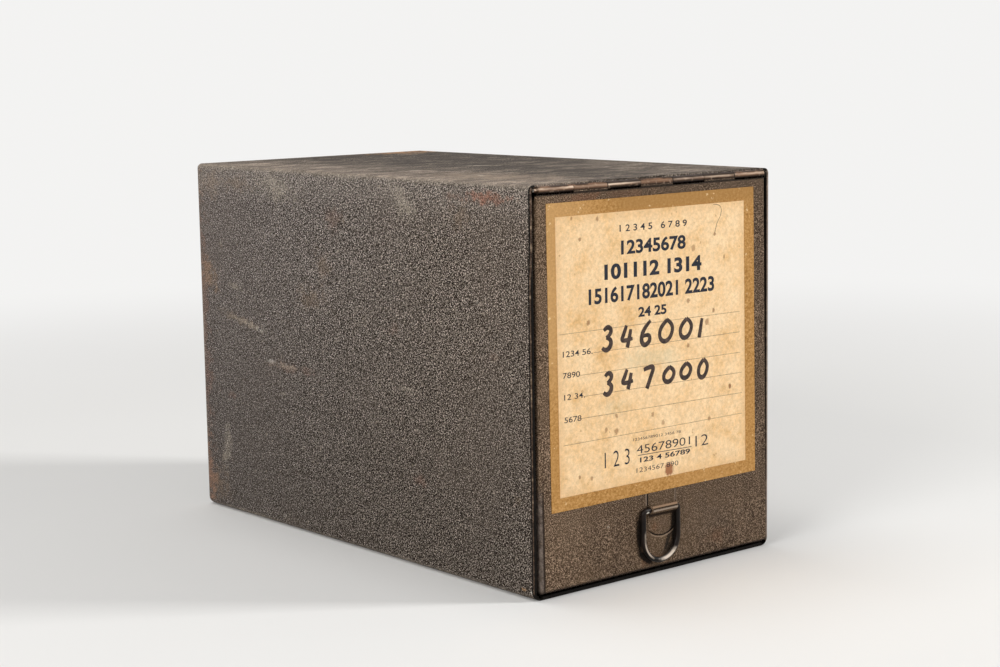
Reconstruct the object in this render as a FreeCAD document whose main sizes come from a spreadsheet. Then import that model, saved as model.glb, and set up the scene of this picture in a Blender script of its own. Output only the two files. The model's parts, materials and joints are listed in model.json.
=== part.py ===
import FreeCAD, Part
import math
import os
import Sketcher

# Old sheet-steel prescription file box: a wrapped casing, a top-hinged front door with a
# D-ring, and a pull-out carriage with a two-post arch file.
# Millimetres. X is the width, Y runs from the door (low) to the back (high), Z is up.
# The origin is the middle of the casing's underside.

VECTOR = FreeCAD.Vector
doc = FreeCAD.newDocument("prescription_file_box")
sheet = doc.addObject("Spreadsheet::Sheet", "sizes")

# Driving dimensions: alias, value, what it is
DIMENSIONS = [
    ("case_width", 146.0, "casing, outside width"),
    ("case_depth", 261.0, "casing, outside depth"),
    ("case_height", 178.0, "casing, outside height"),
    ("case_sheet", 0.8, "casing sheet thickness"),
    ("top_bend", 2.4, "outside bend radius of the two top edges"),
    ("bottom_bend", 4.0, "outside bend radius of the two bottom edges"),
    ("rear_bend", 1.8, "outside bend radius round the back rim"),
    ("rear_lip", 5.0, "how far the back rim is turned in"),
    ("hem_depth", 8.0, "depth of the folded hems at the front edges"),
    ("hem_round", 0.7, "rounding of the hem folds"),
    ("seam_width", 10.0, "overlap of the lap seam along the floor"),
    ("seam_end_gap", 2.0, "gap between the lap seam's end and the back panel"),
    ("back_flange", 10.0, "depth of the back panel's flanges"),
    ("back_play", 0.1, "gap between the back panel's flanges and the casing"),
    ("door_sheet", 0.7, "sheet thickness of the door and the hinge leaf"),
    ("door_side_gap", 1.3, "gap between the door and each side hem"),
    ("door_floor_gap", 1.5, "gap between the door and the floor hem"),
    ("door_flange", 8.0, "depth of the door's side and bottom flanges"),
    ("door_bend", 1.2, "outside bend radius of the door's edges"),
    ("flange_top_drop", 4.0, "how far the side flanges end below the hinge pin"),
    ("ajar_angle", 0.65, "how far the door stands open at rest, degrees"),
    ("pin_diameter", 1.6, "hinge pin diameter"),
    ("pin_play", 0.05, "radial play of the pin in the knuckles"),
    ("pin_overhang", 2.1, "pin length that shows beyond the left knuckle"),
    ("knuckle_count", 7, "knuckles in the hinge row"),
    ("knuckle_gap", 0.24, "gap between neighbouring knuckles"),
    ("knuckle_relief", 0.4, "gap between a knuckle and the sheet notched round it"),
    ("hinge_left_inset", 2.2, "door edge to the first knuckle"),
    ("hinge_right_inset", 0.3, "last knuckle to the door edge"),
    ("leaf_length", 12.0, "hinge leaf under the top sheet"),
    ("top_groove", 0.65, "groove between the knuckles and the top sheet's edge"),
    ("strap_width", 17.2, "pull strap width"),
    ("strap_middle", 1.2, "pull strap, distance right of the middle"),
    ("strap_sheet", 0.6, "pull strap thickness, also the depth of its recess"),
    ("strap_top", 52.0, "height of the strap's hidden top end"),
    ("tongue_low", 17.6, "lowest point of the strap's tongue"),
    ("tongue_side", 21.2, "height where the tongue's round end meets its sides"),
    ("tongue_round", 12.0, "radius of the tongue's end"),
    ("loop_inset", 1.35, "how far the strap's loop ends short of its right edge"),
    ("recess_gap", 0.35, "gap between the strap and its recess"),
    ("bar_height", 30.0, "height of the ring's straight bar"),
    ("bar_standoff", 1.35, "ring bar's centre in front of the door face"),
    ("ring_wire", 2.4, "ring wire diameter"),
    ("ring_clear", 19.0, "clear width inside the ring"),
    ("ring_middle", -0.8, "ring's middle, distance right of the casing's middle"),
    ("ring_drop", 23.4, "bar to the bottom of the ring, centre to centre"),
    ("ring_corner", 1.4, "centre-line radius of the ring's two corners"),
    ("ring_play", 0.1, "radial play of the bar in the strap's loop"),
    ("label_width", 126.6, "label, overall width"),
    ("label_middle", -1.1, "label's middle, distance right of the casing's middle"),
    ("label_low", 37.6, "height of the label's lower edge"),
    ("label_high", 170.0, "height of the label's upper edge"),
    ("border_thick", 0.25, "thickness of the label's border card"),
    ("paper_thick", 0.15, "thickness of the label's paper"),
    ("margin_left", 4.8, "border showing left of the paper"),
    ("margin_right", 6.7, "border showing right of the paper"),
    ("margin_end", 6.0, "border showing above and below the paper"),
    ("runner_length", 236.0, "carriage runner length"),
    ("runner_sheet", 0.8, "carriage runner thickness"),
    ("runner_side_gap", 2.6, "gap between each runner and the casing's side"),
    ("runner_foot", 9.6, "width of the runner's foot"),
    ("runner_lip", 4.8, "width of the lip that keeps the carriage down"),
    ("runner_front", 12.0, "casing front to the runner's front end"),
    ("running_gap", 0.3, "vertical running gap of the carriage"),
    ("ear_reach", 1.6, "how far the carriage's stop ears stick out"),
    ("ear_length", 2.0, "stop ear, front to back"),
    ("ear_inset", 1.0, "how far the stop ears end short of the side walls' edges"),
    ("ear_gap", 0.4, "side gap between ear and runner, and tab and carriage"),
    ("carriage_travel", 186.0, "pull-out travel of the carriage"),
    ("stop_slack", 0.6, "travel left over when the stops are reached"),
    ("tray_sheet", 0.8, "carriage sheet thickness"),
    ("tray_length", 232.0, "carriage length"),
    ("tray_front", 10.0, "casing front to the carriage's front wall"),
    ("tray_side", 12.3, "height of the carriage's side walls"),
    ("tray_front_wall", 27.0, "height of the front wall"),
    ("tray_rear_wall", 19.0, "height of the rear wall"),
    ("tray_corner", 9.0, "corner radius of the front and rear walls"),
    ("tray_bend", 1.3, "outside bend radius of the carriage"),
    ("notch_round", 11.0, "radius of the finger notch"),
    ("notch_rise", 2.0, "centre of the finger notch below the wall's top"),
    ("base_width", 104.0, "arch base plate width"),
    ("base_length", 80.0, "arch base plate length"),
    ("base_front", 116.5, "casing front to the base plate's front edge"),
    ("base_sheet", 1.2, "arch base plate thickness"),
    ("base_corner", 5.0, "corner radius of the base plate"),
    ("rivet_shank", 3.0, "rivet shank diameter"),
    ("rivet_head", 5.6, "rivet head diameter"),
    ("rivet_top", 3.4, "diameter of the rivet head's flat top"),
    ("rivet_rise", 1.0, "rivet head height"),
    ("rivet_inset", 5.5, "rivet centre in from the base plate's edges"),
    ("shank_play", 0.03, "radial play of a fixed shank in its hole"),
    ("wire_diameter", 5.0, "posts, arches and pivot shaft"),
    ("post_spacing", 70.0, "distance between the two posts"),
    ("post_setback", 20.0, "base plate's front edge to the posts"),
    ("post_foot", 3.6, "diameter of the post's riveted foot"),
    ("arch_span", 48.0, "post to rear leg"),
    ("scarf_height", 104.0, "middle of the slanted joint above the base plate"),
    ("scarf_gap", 0.2, "gap in the slanted joint"),
    ("arch_shoulder", 108.5, "where the arch starts to curve, above the base plate"),
    ("shaft_height", 8.1, "pivot shaft above the base plate"),
    ("shaft_play", 0.05, "radial play of the pivot shaft"),
    ("shaft_overhang", 1.4, "shaft length that shows beyond each ear"),
    ("saddle_rise", 1.2, "rear leg's end above the shaft's centre"),
    ("ear_spacing", 80.8, "clear width between the bracket's ears"),
    ("bracket_sheet", 1.2, "pivot bracket thickness"),
    ("bracket_length", 14.0, "pivot bracket, front to back"),
    ("lever_width", 18.0, "thumb lever width"),
    ("lever_sheet", 1.5, "thumb lever thickness"),
    ("lever_boss", 8.4, "diameter of the lever's boss"),
    ("lever_arm", 30.0, "lever arm length from the shaft"),
    ("lever_pad", 12.0, "length of the thumb pad"),
    ("lever_angle", 50.0, "angle of the lever above the level, degrees"),
    ("press_width", 88.0, "press plate width"),
    ("press_length", 36.0, "press plate, front to back"),
    ("press_sheet", 1.2, "press plate thickness"),
    ("press_rim", 4.0, "height of the press plate's turned-up rims"),
    ("press_play", 0.3, "radial play of the press plate on the posts"),
    ("press_lift", 0.3, "gap between the press plate at rest and the rivet heads"),
    ("stop_height", 20.0, "height of the door stop lugs"),
    ("stop_low", 24.0, "door stop lugs above the casing's underside"),
    ("stop_reach", 4.2, "how far the door stop lugs stick in"),
    ("stop_foot", 9.0, "length of the door stop lugs along the side"),
    ("stop_gap", 0.3, "gap between the shut door and its stops"),
]


class Size:
    """A length that carries its number and the sheet expression it comes from."""

    def __init__(self, number, text):
        self.number = number
        self.text = text

    def join(self, other, sign, result):
        other = size(other)
        return Size(result(self.number, other.number), f"({self.text} {sign} {other.text})")

    def __add__(self, other):
        return self.join(other, "+", lambda a, b: a + b)

    def __sub__(self, other):
        return self.join(other, "-", lambda a, b: a - b)

    def __mul__(self, other):
        return self.join(other, "*", lambda a, b: a * b)

    def __truediv__(self, other):
        return self.join(other, "/", lambda a, b: a / b)

    def __radd__(self, other):
        return size(other) + self

    def __rsub__(self, other):
        return size(other) - self

    def __rmul__(self, other):
        return size(other) * self

    def __neg__(self):
        return Size(-self.number, f"(-1 * {self.text})")


def size(value):
    """Turn a plain number into a Size."""
    return value if isinstance(value, Size) else Size(float(value), repr(float(value)))


def fill_sheet():
    """Write the driving dimensions into the spreadsheet and return them by alias."""
    named = {}
    for row, (alias, value, meaning) in enumerate(DIMENSIONS, start=1):
        sheet.set(f"A{row}", alias)
        sheet.set(f"B{row}", str(value))
        sheet.set(f"C{row}", meaning)
        sheet.setAlias(f"B{row}", alias)
        named[alias] = Size(float(value), f"sizes.{alias}")
    doc.recompute()
    return named


D = fill_sheet()

# Places that several pieces share
SIDE = D["case_width"] / 2
FRONT = -D["case_depth"] / 2
REAR = D["case_depth"] / 2
INNER_SIDE = SIDE - D["case_sheet"]
HEM_SIDE = INNER_SIDE - D["case_sheet"]
HEM_FLOOR = 2 * D["case_sheet"]
KNUCKLE_BORE = D["pin_diameter"] / 2 + D["pin_play"]
KNUCKLE_ROUND = KNUCKLE_BORE + D["door_sheet"]
HINGE_Y = FRONT + KNUCKLE_ROUND
HINGE_Z = D["case_height"] - D["case_sheet"] - KNUCKLE_ROUND
TOP_FRONT = HINGE_Y + KNUCKLE_ROUND + D["top_groove"]
DOOR_SIDE = HEM_SIDE - D["door_side_gap"]
DOOR_LOW = HEM_FLOOR + D["door_floor_gap"]
ROW_LEFT = -DOOR_SIDE + D["hinge_left_inset"]
ROW_RIGHT = DOOR_SIDE - D["hinge_right_inset"]
KNUCKLE_PITCH = (ROW_RIGHT - ROW_LEFT) / D["knuckle_count"]
NOTCH_Z = HINGE_Z - KNUCKLE_ROUND - D["knuckle_relief"]
STRAP_LEFT = D["strap_middle"] - D["strap_width"] / 2
STRAP_RIGHT = D["strap_middle"] + D["strap_width"] / 2
LOOP_RIGHT = STRAP_RIGHT - D["loop_inset"]
RING_X = D["ring_middle"]
RING_Y = FRONT - D["bar_standoff"]
LOOP_BORE = D["ring_wire"] / 2 + D["ring_play"]
LABEL_LEFT = D["label_middle"] - D["label_width"] / 2
LABEL_RIGHT = D["label_middle"] + D["label_width"] / 2
WEB_SIDE = INNER_SIDE - D["runner_side_gap"] - D["runner_sheet"]
LIP_SIDE = WEB_SIDE + D["runner_sheet"] - D["runner_lip"]
TRAY_SIDE = WEB_SIDE - D["ear_gap"] - D["ear_reach"]
TRAY_FRONT = FRONT + D["tray_front"]
TRAY_REAR = TRAY_FRONT + D["tray_length"]
FLOOR_TOP = D["case_sheet"]
TRAY_LOW = FLOOR_TOP + D["runner_sheet"] + D["running_gap"]
TRAY_FLOOR = TRAY_LOW + D["tray_sheet"]
EAR_REAR = TRAY_REAR - D["tray_sheet"]
BASE_TOP = TRAY_FLOOR + D["base_sheet"]
BASE_FRONT = FRONT + D["base_front"]
BASE_REAR = BASE_FRONT + D["base_length"]
POST_X = D["post_spacing"] / 2
POST_Y = BASE_FRONT + D["post_setback"]
SHAFT_Y = POST_Y + D["arch_span"]
SHAFT_Z = BASE_TOP + D["shaft_height"]
WIRE_ROUND = D["wire_diameter"] / 2
SCARF_Z = BASE_TOP + D["scarf_height"]
SHOULDER_Z = BASE_TOP + D["arch_shoulder"]
RIVET_X = D["base_width"] / 2 - D["rivet_inset"]
RIVET_YS = (BASE_FRONT + D["rivet_inset"], BASE_REAR - D["rivet_inset"])
PRESS_Z = BASE_TOP + D["rivet_rise"] + D["press_lift"]

# Shares of another size
SLIT_RISE = 0.35
SLIT_REACH = 0.8
PIN_END_ROUND = 0.3
RUNNER_ROUND = 0.9
STOP_ROUND = 0.8
SHAFT_END_BEVEL = 0.5
BRACKET_ROUND = 0.85
LEVER_BEND = 1.2
PAD_CORNER = 0.6

# How far a cut runs past what it cuts, and how close two places count as one
PAST = 1.0
SAME = 1e-4
INSIDE = 0.1

# Origin plane, whether its normal runs along the axis or against it
PLANES = {"x": ("YZ_Plane", 1), "y": ("XZ_Plane", -1), "z": ("XY_Plane", 1)}


def new_body(label):
    """Start one piece."""
    piece = doc.addObject("PartDesign::Body", label)
    piece.Label = label
    return piece


def new_sketch(piece, axis, place):
    """A sketch square to an axis at a place on it. Sketch axes are YZ, XZ or XY."""
    role, way = PLANES[axis]
    plane = next(item for item in piece.Origin.OriginFeatures if item.Role == role)
    drawing = piece.newObject("Sketcher::SketchObject", "outline")
    drawing.AttachmentSupport = [(plane, "")]
    drawing.MapMode = "FlatFace"
    drawing.setExpression(".AttachmentOffset.Base.z", (way * size(place)).text)
    return drawing


def pin_value(drawing, constraint, value):
    """Add a constraint and bind it to a sheet expression."""
    index = drawing.addConstraint(constraint)
    name = f"value{index}"
    drawing.renameConstraint(index, name)
    drawing.setExpression(f"Constraints.{name}", value.text)


def bend_between(start, end, radius):
    """A round stretch from start to end, counter-clockwise for a positive radius."""
    first, last = (start, end) if radius > 0 else (end, start)
    chord = last - first
    middle = (first + last) / 2
    reach = math.sqrt(max(radius * radius - chord.Length ** 2 / 4, 0.0))
    inward = VECTOR(-chord.y, chord.x, 0)
    inward.normalize()
    centre = middle + inward * reach
    arms = [point - centre for point in (first, last)]
    angles = [math.atan2(arm.y, arm.x) for arm in arms]
    circle = Part.Circle(centre, VECTOR(0, 0, 1), abs(radius))
    return Part.ArcOfCircle(circle, angles[0], angles[1])


def draw(drawing, corners, bends=None, closed=True):
    """Draw lines from corner to corner; bends maps a corner's number to the radius of
    the round stretch that leaves it, negative where it curves clockwise."""
    bends = bends or {}
    corners = [(size(across), size(along)) for across, along in corners]
    count = len(corners) if closed else len(corners) - 1
    ends = []
    for number in range(count):
        pair = [corners[number], corners[(number + 1) % len(corners)]]
        start, end = [VECTOR(across.number, along.number, 0) for across, along in pair]
        if number in bends:
            radius = size(bends[number])
            shape = bend_between(start, end, radius.number)
        else:
            radius = None
            shape = Part.LineSegment(start, end)
        index = drawing.addGeometry(shape)
        turned = radius is not None and radius.number < 0
        ends.append((index, 2 if turned else 1, 1 if turned else 2))
        if radius is not None:
            amount = -radius if turned else radius
            pin_value(drawing, Sketcher.Constraint("Radius", index, amount.number), amount)
    joints = range(count) if closed else range(count - 1)
    for number in joints:
        here = ends[number]
        there = ends[(number + 1) % count]
        drawing.addConstraint(Sketcher.Constraint("Coincident", here[0], here[2], there[0], there[1]))
    points = [(index, start) for index, start, end in ends]
    if not closed:
        points.append((ends[-1][0], ends[-1][2]))
    for (index, end), (across, along) in zip(points, corners):
        across_rule = Sketcher.Constraint("DistanceX", -1, 1, index, end, across.number)
        along_rule = Sketcher.Constraint("DistanceY", -1, 1, index, end, along.number)
        pin_value(drawing, across_rule, across)
        pin_value(drawing, along_rule, along)


def draw_box(drawing, low, high):
    """Draw a rectangle from its low corner to its high corner."""
    draw(drawing, [low, (high[0], low[1]), high, (low[0], high[1])])


def draw_soft_box(drawing, low, high, low_round, high_round):
    """Draw a rectangle with its lower and its upper corners rounded."""
    left, bottom = low
    right, top = high
    draw(drawing, [(left + low_round, bottom), (right - low_round, bottom),
                   (right, bottom + low_round), (right, top - high_round),
                   (right - high_round, top), (left + high_round, top),
                   (left, top - high_round), (left, bottom + low_round)],
         bends={1: low_round, 3: high_round, 5: high_round, 7: low_round})


def draw_circle(drawing, centre, radius):
    """Draw a circle."""
    across, along, radius = size(centre[0]), size(centre[1]), size(radius)
    circle = Part.Circle(VECTOR(across.number, along.number, 0), VECTOR(0, 0, 1), radius.number)
    index = drawing.addGeometry(circle)
    pin_value(drawing, Sketcher.Constraint("Radius", index, radius.number), radius)
    pin_value(drawing, Sketcher.Constraint("DistanceX", -1, 1, index, 3, across.number), across)
    pin_value(drawing, Sketcher.Constraint("DistanceY", -1, 1, index, 3, along.number), along)


def extrude(piece, axis, low, high, drawer, cut=False):
    """Pad or cut from low to high along an axis; drawer draws the outline."""
    low, high = size(low), size(high)
    drawing = new_sketch(piece, axis, low)
    drawer(drawing)
    before = piece.Shape.Volume if cut else 0.0
    kind = "PartDesign::Pocket" if cut else "PartDesign::Pad"
    feature = piece.newObject(kind, "cut" if cut else "pad")
    feature.Profile = drawing
    feature.setExpression("Length", (high - low).text)
    along_normal = PLANES[axis][1] > 0
    feature.Reversed = along_normal if cut else not along_normal
    doc.recompute()
    if cut and piece.Shape.Volume >= before:
        raise ValueError(f"a cut in {piece.Label} removed nothing")
    return feature


def pad_box(piece, low, high):
    """Add a block between two corners."""
    return extrude(piece, "z", low[2], high[2], lambda d: draw_box(d, low[:2], high[:2]))


def cut_box(piece, low, high):
    """Cut a block away between two corners."""
    return extrude(piece, "z", low[2], high[2], lambda d: draw_box(d, low[:2], high[:2]), cut=True)


def pad_rod(piece, axis, low, high, centre, radius):
    """Add a round bar along an axis."""
    return extrude(piece, axis, low, high, lambda d: draw_circle(d, centre, radius))


def cut_bore(piece, axis, low, high, centre, radius):
    """Cut a round hole along an axis."""
    return extrude(piece, axis, low, high, lambda d: draw_circle(d, centre, radius), cut=True)


def finish_edges(piece, kind, setting, amount, wanted):
    """Bevel or round every edge for which wanted(middle, direction) is true."""
    base = piece.Tip
    names = []
    for number, edge in enumerate(base.Shape.Edges, start=1):
        half = (edge.FirstParameter + edge.LastParameter) / 2
        if wanted(edge.valueAt(half), edge.tangentAt(half)):
            names.append(f"Edge{number}")
    if not names:
        raise ValueError(f"no edge to round in {piece.Label}")
    feature = piece.newObject(kind, "edge_finish")
    feature.Base = (base, names)
    feature.setExpression(setting, size(amount).text)
    doc.recompute()


def bevel_edges(piece, width, wanted):
    """Bevel every edge for which wanted(middle, direction) is true."""
    finish_edges(piece, "PartDesign::Chamfer", "Size", width, wanted)


def round_edges(piece, radius, wanted):
    """Round every edge for which wanted(middle, direction) is true."""
    finish_edges(piece, "PartDesign::Fillet", "Radius", radius, wanted)


def near(value, target):
    """True where a coordinate lies at a place."""
    return abs(value - size(target).number) < SAME


def along(direction, axis):
    """True where an edge runs along an axis."""
    return 1 - abs(getattr(direction, axis)) < SAME


def sweep(piece, profile, path):
    """Sweep a section along a path."""
    feature = piece.newObject("PartDesign::AdditivePipe", "sweep")
    feature.Profile = profile
    feature.Spine = (path, [f"Edge{number + 1}" for number in range(path.GeometryCount)])
    feature.Mode = "Frenet"
    doc.recompute()


def knuckle_zone(number):
    """Left and right end of one knuckle, counted from the left."""
    left = ROW_LEFT + KNUCKLE_PITCH * number
    return left + D["knuckle_gap"] / 2, left + KNUCKLE_PITCH - D["knuckle_gap"] / 2


def knuckle_numbers(odd):
    """The knuckles that belong to the door (odd) or to the casing (even)."""
    start = 1 if odd else 0
    return range(start, int(D["knuckle_count"].number), 2)


def make_casing_wrap():
    """Top, sides and floor from one sheet, with hems, a floor seam and a turned-in rim."""
    piece = new_body("casing_wrap")
    high = D["case_height"]
    wall = D["case_sheet"]
    inside_rear = REAR - wall
    extrude(piece, "y", FRONT, REAR,
            lambda d: draw_soft_box(d, (-SIDE, size(0)), (SIDE, high), D["bottom_bend"], D["top_bend"]))
    round_edges(piece, D["rear_bend"], lambda p, t: near(p.y, REAR))
    extrude(piece, "y", FRONT, inside_rear,
            lambda d: draw_soft_box(d, (-INNER_SIDE, FLOOR_TOP), (INNER_SIDE, high - wall),
                                    D["bottom_bend"] - wall, D["top_bend"] - wall), cut=True)
    round_edges(piece, D["rear_bend"] - D["case_sheet"],
                lambda p, t: near(p.y, inside_rear) and abs(p.x) < SIDE.number - INSIDE)
    lip = D["rear_lip"]
    cut_box(piece, (lip - SIDE, inside_rear - PAST, lip), (SIDE - lip, REAR + PAST, high - lip))
    hem_rear = FRONT + D["hem_depth"]
    hem_low = D["bottom_bend"]
    for way in (-1, 1):
        low = -INNER_SIDE if way < 0 else HEM_SIDE
        upper = low + D["case_sheet"]
        pad_box(piece, (low, FRONT, hem_low), (upper, hem_rear, NOTCH_Z))
    floor_side = SIDE - D["bottom_bend"]
    pad_box(piece, (-floor_side, FRONT, FLOOR_TOP), (floor_side, hem_rear, HEM_FLOOR))
    seam = D["seam_width"] / 2
    seam_rear = REAR - D["back_flange"] - D["seam_end_gap"]
    pad_box(piece, (-seam, hem_rear, FLOOR_TOP), (seam, seam_rear, HEM_FLOOR))
    cut_box(piece, (-DOOR_SIDE, FRONT - PAST, NOTCH_Z), (DOOR_SIDE, TOP_FRONT, high + PAST))
    round_edges(piece, D["hem_round"],
                lambda p, t: near(p.y, FRONT) and along(t, "z") and p.z < NOTCH_Z.number)
    return piece


def make_back_panel():
    """A shallow flanged panel held behind the casing's turned-in rim."""
    piece = new_body("back_panel")
    reach = INNER_SIDE - D["back_play"]
    low = FLOOR_TOP + D["back_play"]
    high = D["case_height"] - D["case_sheet"] - D["back_play"]
    face = REAR - D["case_sheet"]
    front = face - D["back_flange"]
    wall = D["case_sheet"]
    top_round = D["top_bend"] - wall
    low_round = D["bottom_bend"] - wall
    extrude(piece, "y", front, face,
            lambda d: draw_soft_box(d, (-reach, low), (reach, high), low_round, top_round))
    round_edges(piece, D["rear_bend"] - wall + D["back_play"], lambda p, t: near(p.y, face))
    extrude(piece, "y", front, face - wall,
            lambda d: draw_soft_box(d, (wall - reach, low + wall), (reach - wall, high - wall),
                                    low_round - wall, top_round - wall / 2), cut=True)
    return piece


def make_hinge_leaf():
    """The casing's half of the hinge: a leaf under the top sheet and every other knuckle."""
    piece = new_body("hinge_leaf")
    leaf_top = HINGE_Z + KNUCKLE_ROUND
    leaf_low = leaf_top - D["door_sheet"]
    pad_box(piece, (ROW_LEFT, HINGE_Y, leaf_low), (ROW_RIGHT, HINGE_Y + D["leaf_length"], leaf_top))
    pad_rod(piece, "x", ROW_LEFT, ROW_RIGHT, (HINGE_Y, HINGE_Z), KNUCKLE_ROUND)
    cut_bore(piece, "x", ROW_LEFT, ROW_RIGHT, (HINGE_Y, HINGE_Z), KNUCKLE_BORE)
    slit_low = HINGE_Z + KNUCKLE_BORE * SLIT_RISE
    cut_box(piece, (ROW_LEFT, HINGE_Y + KNUCKLE_BORE * SLIT_REACH, slit_low),
            (ROW_RIGHT, HINGE_Y + KNUCKLE_ROUND + PAST, leaf_low))
    clear_rear = HINGE_Y + KNUCKLE_ROUND + D["knuckle_relief"]

    def openings(drawing):
        for number in knuckle_numbers(odd=True):
            left, right = knuckle_zone(number)
            draw_box(drawing, (left - D["knuckle_gap"], FRONT - PAST),
                     (right + D["knuckle_gap"], clear_rear))

    extrude(piece, "z", HINGE_Z - KNUCKLE_ROUND - PAST, leaf_top + PAST, openings, cut=True)
    return piece


def make_hinge_pin():
    """The pin through all the knuckles, with rounded ends."""
    piece = new_body("hinge_pin")
    low = ROW_LEFT - D["pin_overhang"]
    pad_rod(piece, "x", low, ROW_RIGHT, (HINGE_Y, HINGE_Z), D["pin_diameter"] / 2)
    round_edges(piece, D["pin_diameter"] * PIN_END_ROUND, lambda p, t: near(p.x, low))
    return piece


def make_runner(label, way):
    """A channel that guides one side of the carriage and keeps it from tipping."""
    piece = new_body(label)
    thick = D["runner_sheet"]
    front = FRONT + D["runner_front"]
    rear = front + D["runner_length"]
    foot_top = FLOOR_TOP + thick
    lip_low = TRAY_LOW + D["tray_side"] + D["ear_gap"]
    lip_top = lip_low + thick
    outer = WEB_SIDE + thick

    def block(near_side, far_side, low, high, start, end):
        near_x, far_x = (near_side, far_side) if way > 0 else (-far_side, -near_side)
        pad_box(piece, (near_x, start, low), (far_x, end, high))

    block(WEB_SIDE, outer, FLOOR_TOP, lip_top, front, rear)
    block(outer - D["runner_foot"], outer, FLOOR_TOP, foot_top, front, rear)
    block(LIP_SIDE, outer, lip_low, lip_top, front, rear)
    tab_rear = EAR_REAR - D["ear_length"] - D["carriage_travel"] - D["stop_slack"]
    block(TRAY_SIDE + D["ear_gap"], outer, foot_top, lip_low, tab_rear - thick, tab_rear)
    round_edges(piece, thick * RUNNER_ROUND, lambda p, t: along(t, "y") and near(abs(p.x), outer))
    return piece


def make_door_stop(label, way):
    """A small angle on the casing's side that the shut door rests against."""
    piece = new_body(label)
    thick = D["case_sheet"]
    front = FRONT + D["door_flange"] + D["stop_gap"]
    rear = front + D["stop_foot"]
    low = D["stop_low"]
    high = low + D["stop_height"]
    inner = INNER_SIDE - D["stop_reach"]

    def block(near_side, far_side, start, end):
        near_x, far_x = (near_side, far_side) if way > 0 else (-far_side, -near_side)
        pad_box(piece, (near_x, start, low), (far_x, end, high))

    block(inner, INNER_SIDE, front, front + thick)
    block(INNER_SIDE - thick, INNER_SIDE, front, rear)
    round_edges(piece, thick * STOP_ROUND,
                lambda p, t: along(t, "z") and near(p.y, front) and near(abs(p.x), INNER_SIDE))
    return piece


def tongue(drawing, grow):
    """Front outline of the strap, grown all round: straight sides and a round lower end."""
    left, right = STRAP_LEFT - grow, STRAP_RIGHT + grow
    low, side = D["tongue_low"] - grow, D["tongue_side"] - grow
    top = D["strap_top"] + grow
    middle = D["strap_middle"]
    draw(drawing, [(left, top), (left, side), (middle, low), (right, side), (right, top)],
         bends={1: D["tongue_round"] + grow, 2: D["tongue_round"] + grow})


def make_door_panel():
    """A shallow pan with a curled top edge and a pressed recess for the pull strap."""
    piece = new_body("door_panel")
    thick = D["door_sheet"]
    back = FRONT + thick
    flange_rear = FRONT + D["door_flange"]
    flange_top = HINGE_Z - D["flange_top_drop"]
    pad_box(piece, (-DOOR_SIDE, FRONT, DOOR_LOW), (DOOR_SIDE, back, HINGE_Z))
    pad_box(piece, (-DOOR_SIDE, FRONT, DOOR_LOW), (DOOR_SIDE, flange_rear, DOOR_LOW + thick))
    pad_box(piece, (-DOOR_SIDE, FRONT, DOOR_LOW), (thick - DOOR_SIDE, flange_rear, flange_top))
    pad_box(piece, (DOOR_SIDE - thick, FRONT, DOOR_LOW), (DOOR_SIDE, flange_rear, flange_top))
    round_edges(piece, D["door_bend"],
                lambda p, t: near(p.y, FRONT) and (along(t, "z") or near(p.z, DOOR_LOW)))
    round_edges(piece, D["door_bend"] - thick,
                lambda p, t: near(p.y, back) and ((along(t, "z") and near(abs(p.x), DOOR_SIDE - thick))
                                                  or near(p.z, DOOR_LOW + thick)))
    pad_rod(piece, "x", ROW_LEFT, ROW_RIGHT, (HINGE_Y, HINGE_Z), KNUCKLE_ROUND)
    cut_bore(piece, "x", ROW_LEFT, ROW_RIGHT, (HINGE_Y, HINGE_Z), KNUCKLE_BORE)
    cut_box(piece, (ROW_LEFT, back, HINGE_Z - KNUCKLE_ROUND - PAST),
            (ROW_RIGHT, HINGE_Y - KNUCKLE_BORE * SLIT_RISE, HINGE_Z - KNUCKLE_BORE * SLIT_REACH))
    deep = FRONT + D["strap_sheet"]
    wall = D["recess_gap"] + thick
    extrude(piece, "y", back, deep + thick, lambda d: tongue(d, wall))
    extrude(piece, "y", FRONT, deep, lambda d: tongue(d, D["recess_gap"]), cut=True)

    def notches(drawing):
        for number in knuckle_numbers(odd=False):
            left, right = knuckle_zone(number)
            first = number == 0
            last = number == int(D["knuckle_count"].number) - 1
            low = -DOOR_SIDE - PAST if first else left - D["knuckle_gap"]
            high = DOOR_SIDE + PAST if last else right + D["knuckle_gap"]
            draw_box(drawing, (low, NOTCH_Z), (high, HINGE_Z + KNUCKLE_ROUND + PAST))

    extrude(piece, "y", FRONT - PAST, HINGE_Y + KNUCKLE_ROUND + PAST, notches, cut=True)
    return piece


def make_pull_strap():
    """The strip that holds the ring: a flat top, a round loop over the bar, a tongue."""
    piece = new_body("pull_strap")
    back = FRONT + D["strap_sheet"]
    outer = LOOP_BORE + D["strap_sheet"]
    bar = D["bar_height"]
    extrude(piece, "y", FRONT, back, lambda d: tongue(d, size(0)))
    pad_box(piece, (STRAP_LEFT, RING_Y, bar - outer), (LOOP_RIGHT, back, bar + outer))
    pad_rod(piece, "x", STRAP_LEFT, LOOP_RIGHT, (RING_Y, bar), outer)
    round_edges(piece, D["strap_sheet"],
                lambda p, t: along(t, "x") and near(p.y, FRONT) and near(abs(p.z - bar.number), outer))
    cut_bore(piece, "x", STRAP_LEFT, LOOP_RIGHT, (RING_Y, bar), LOOP_BORE)
    cut_box(piece, (STRAP_LEFT, RING_Y, bar - LOOP_BORE), (LOOP_RIGHT, back, bar + LOOP_BORE))
    return piece


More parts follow.
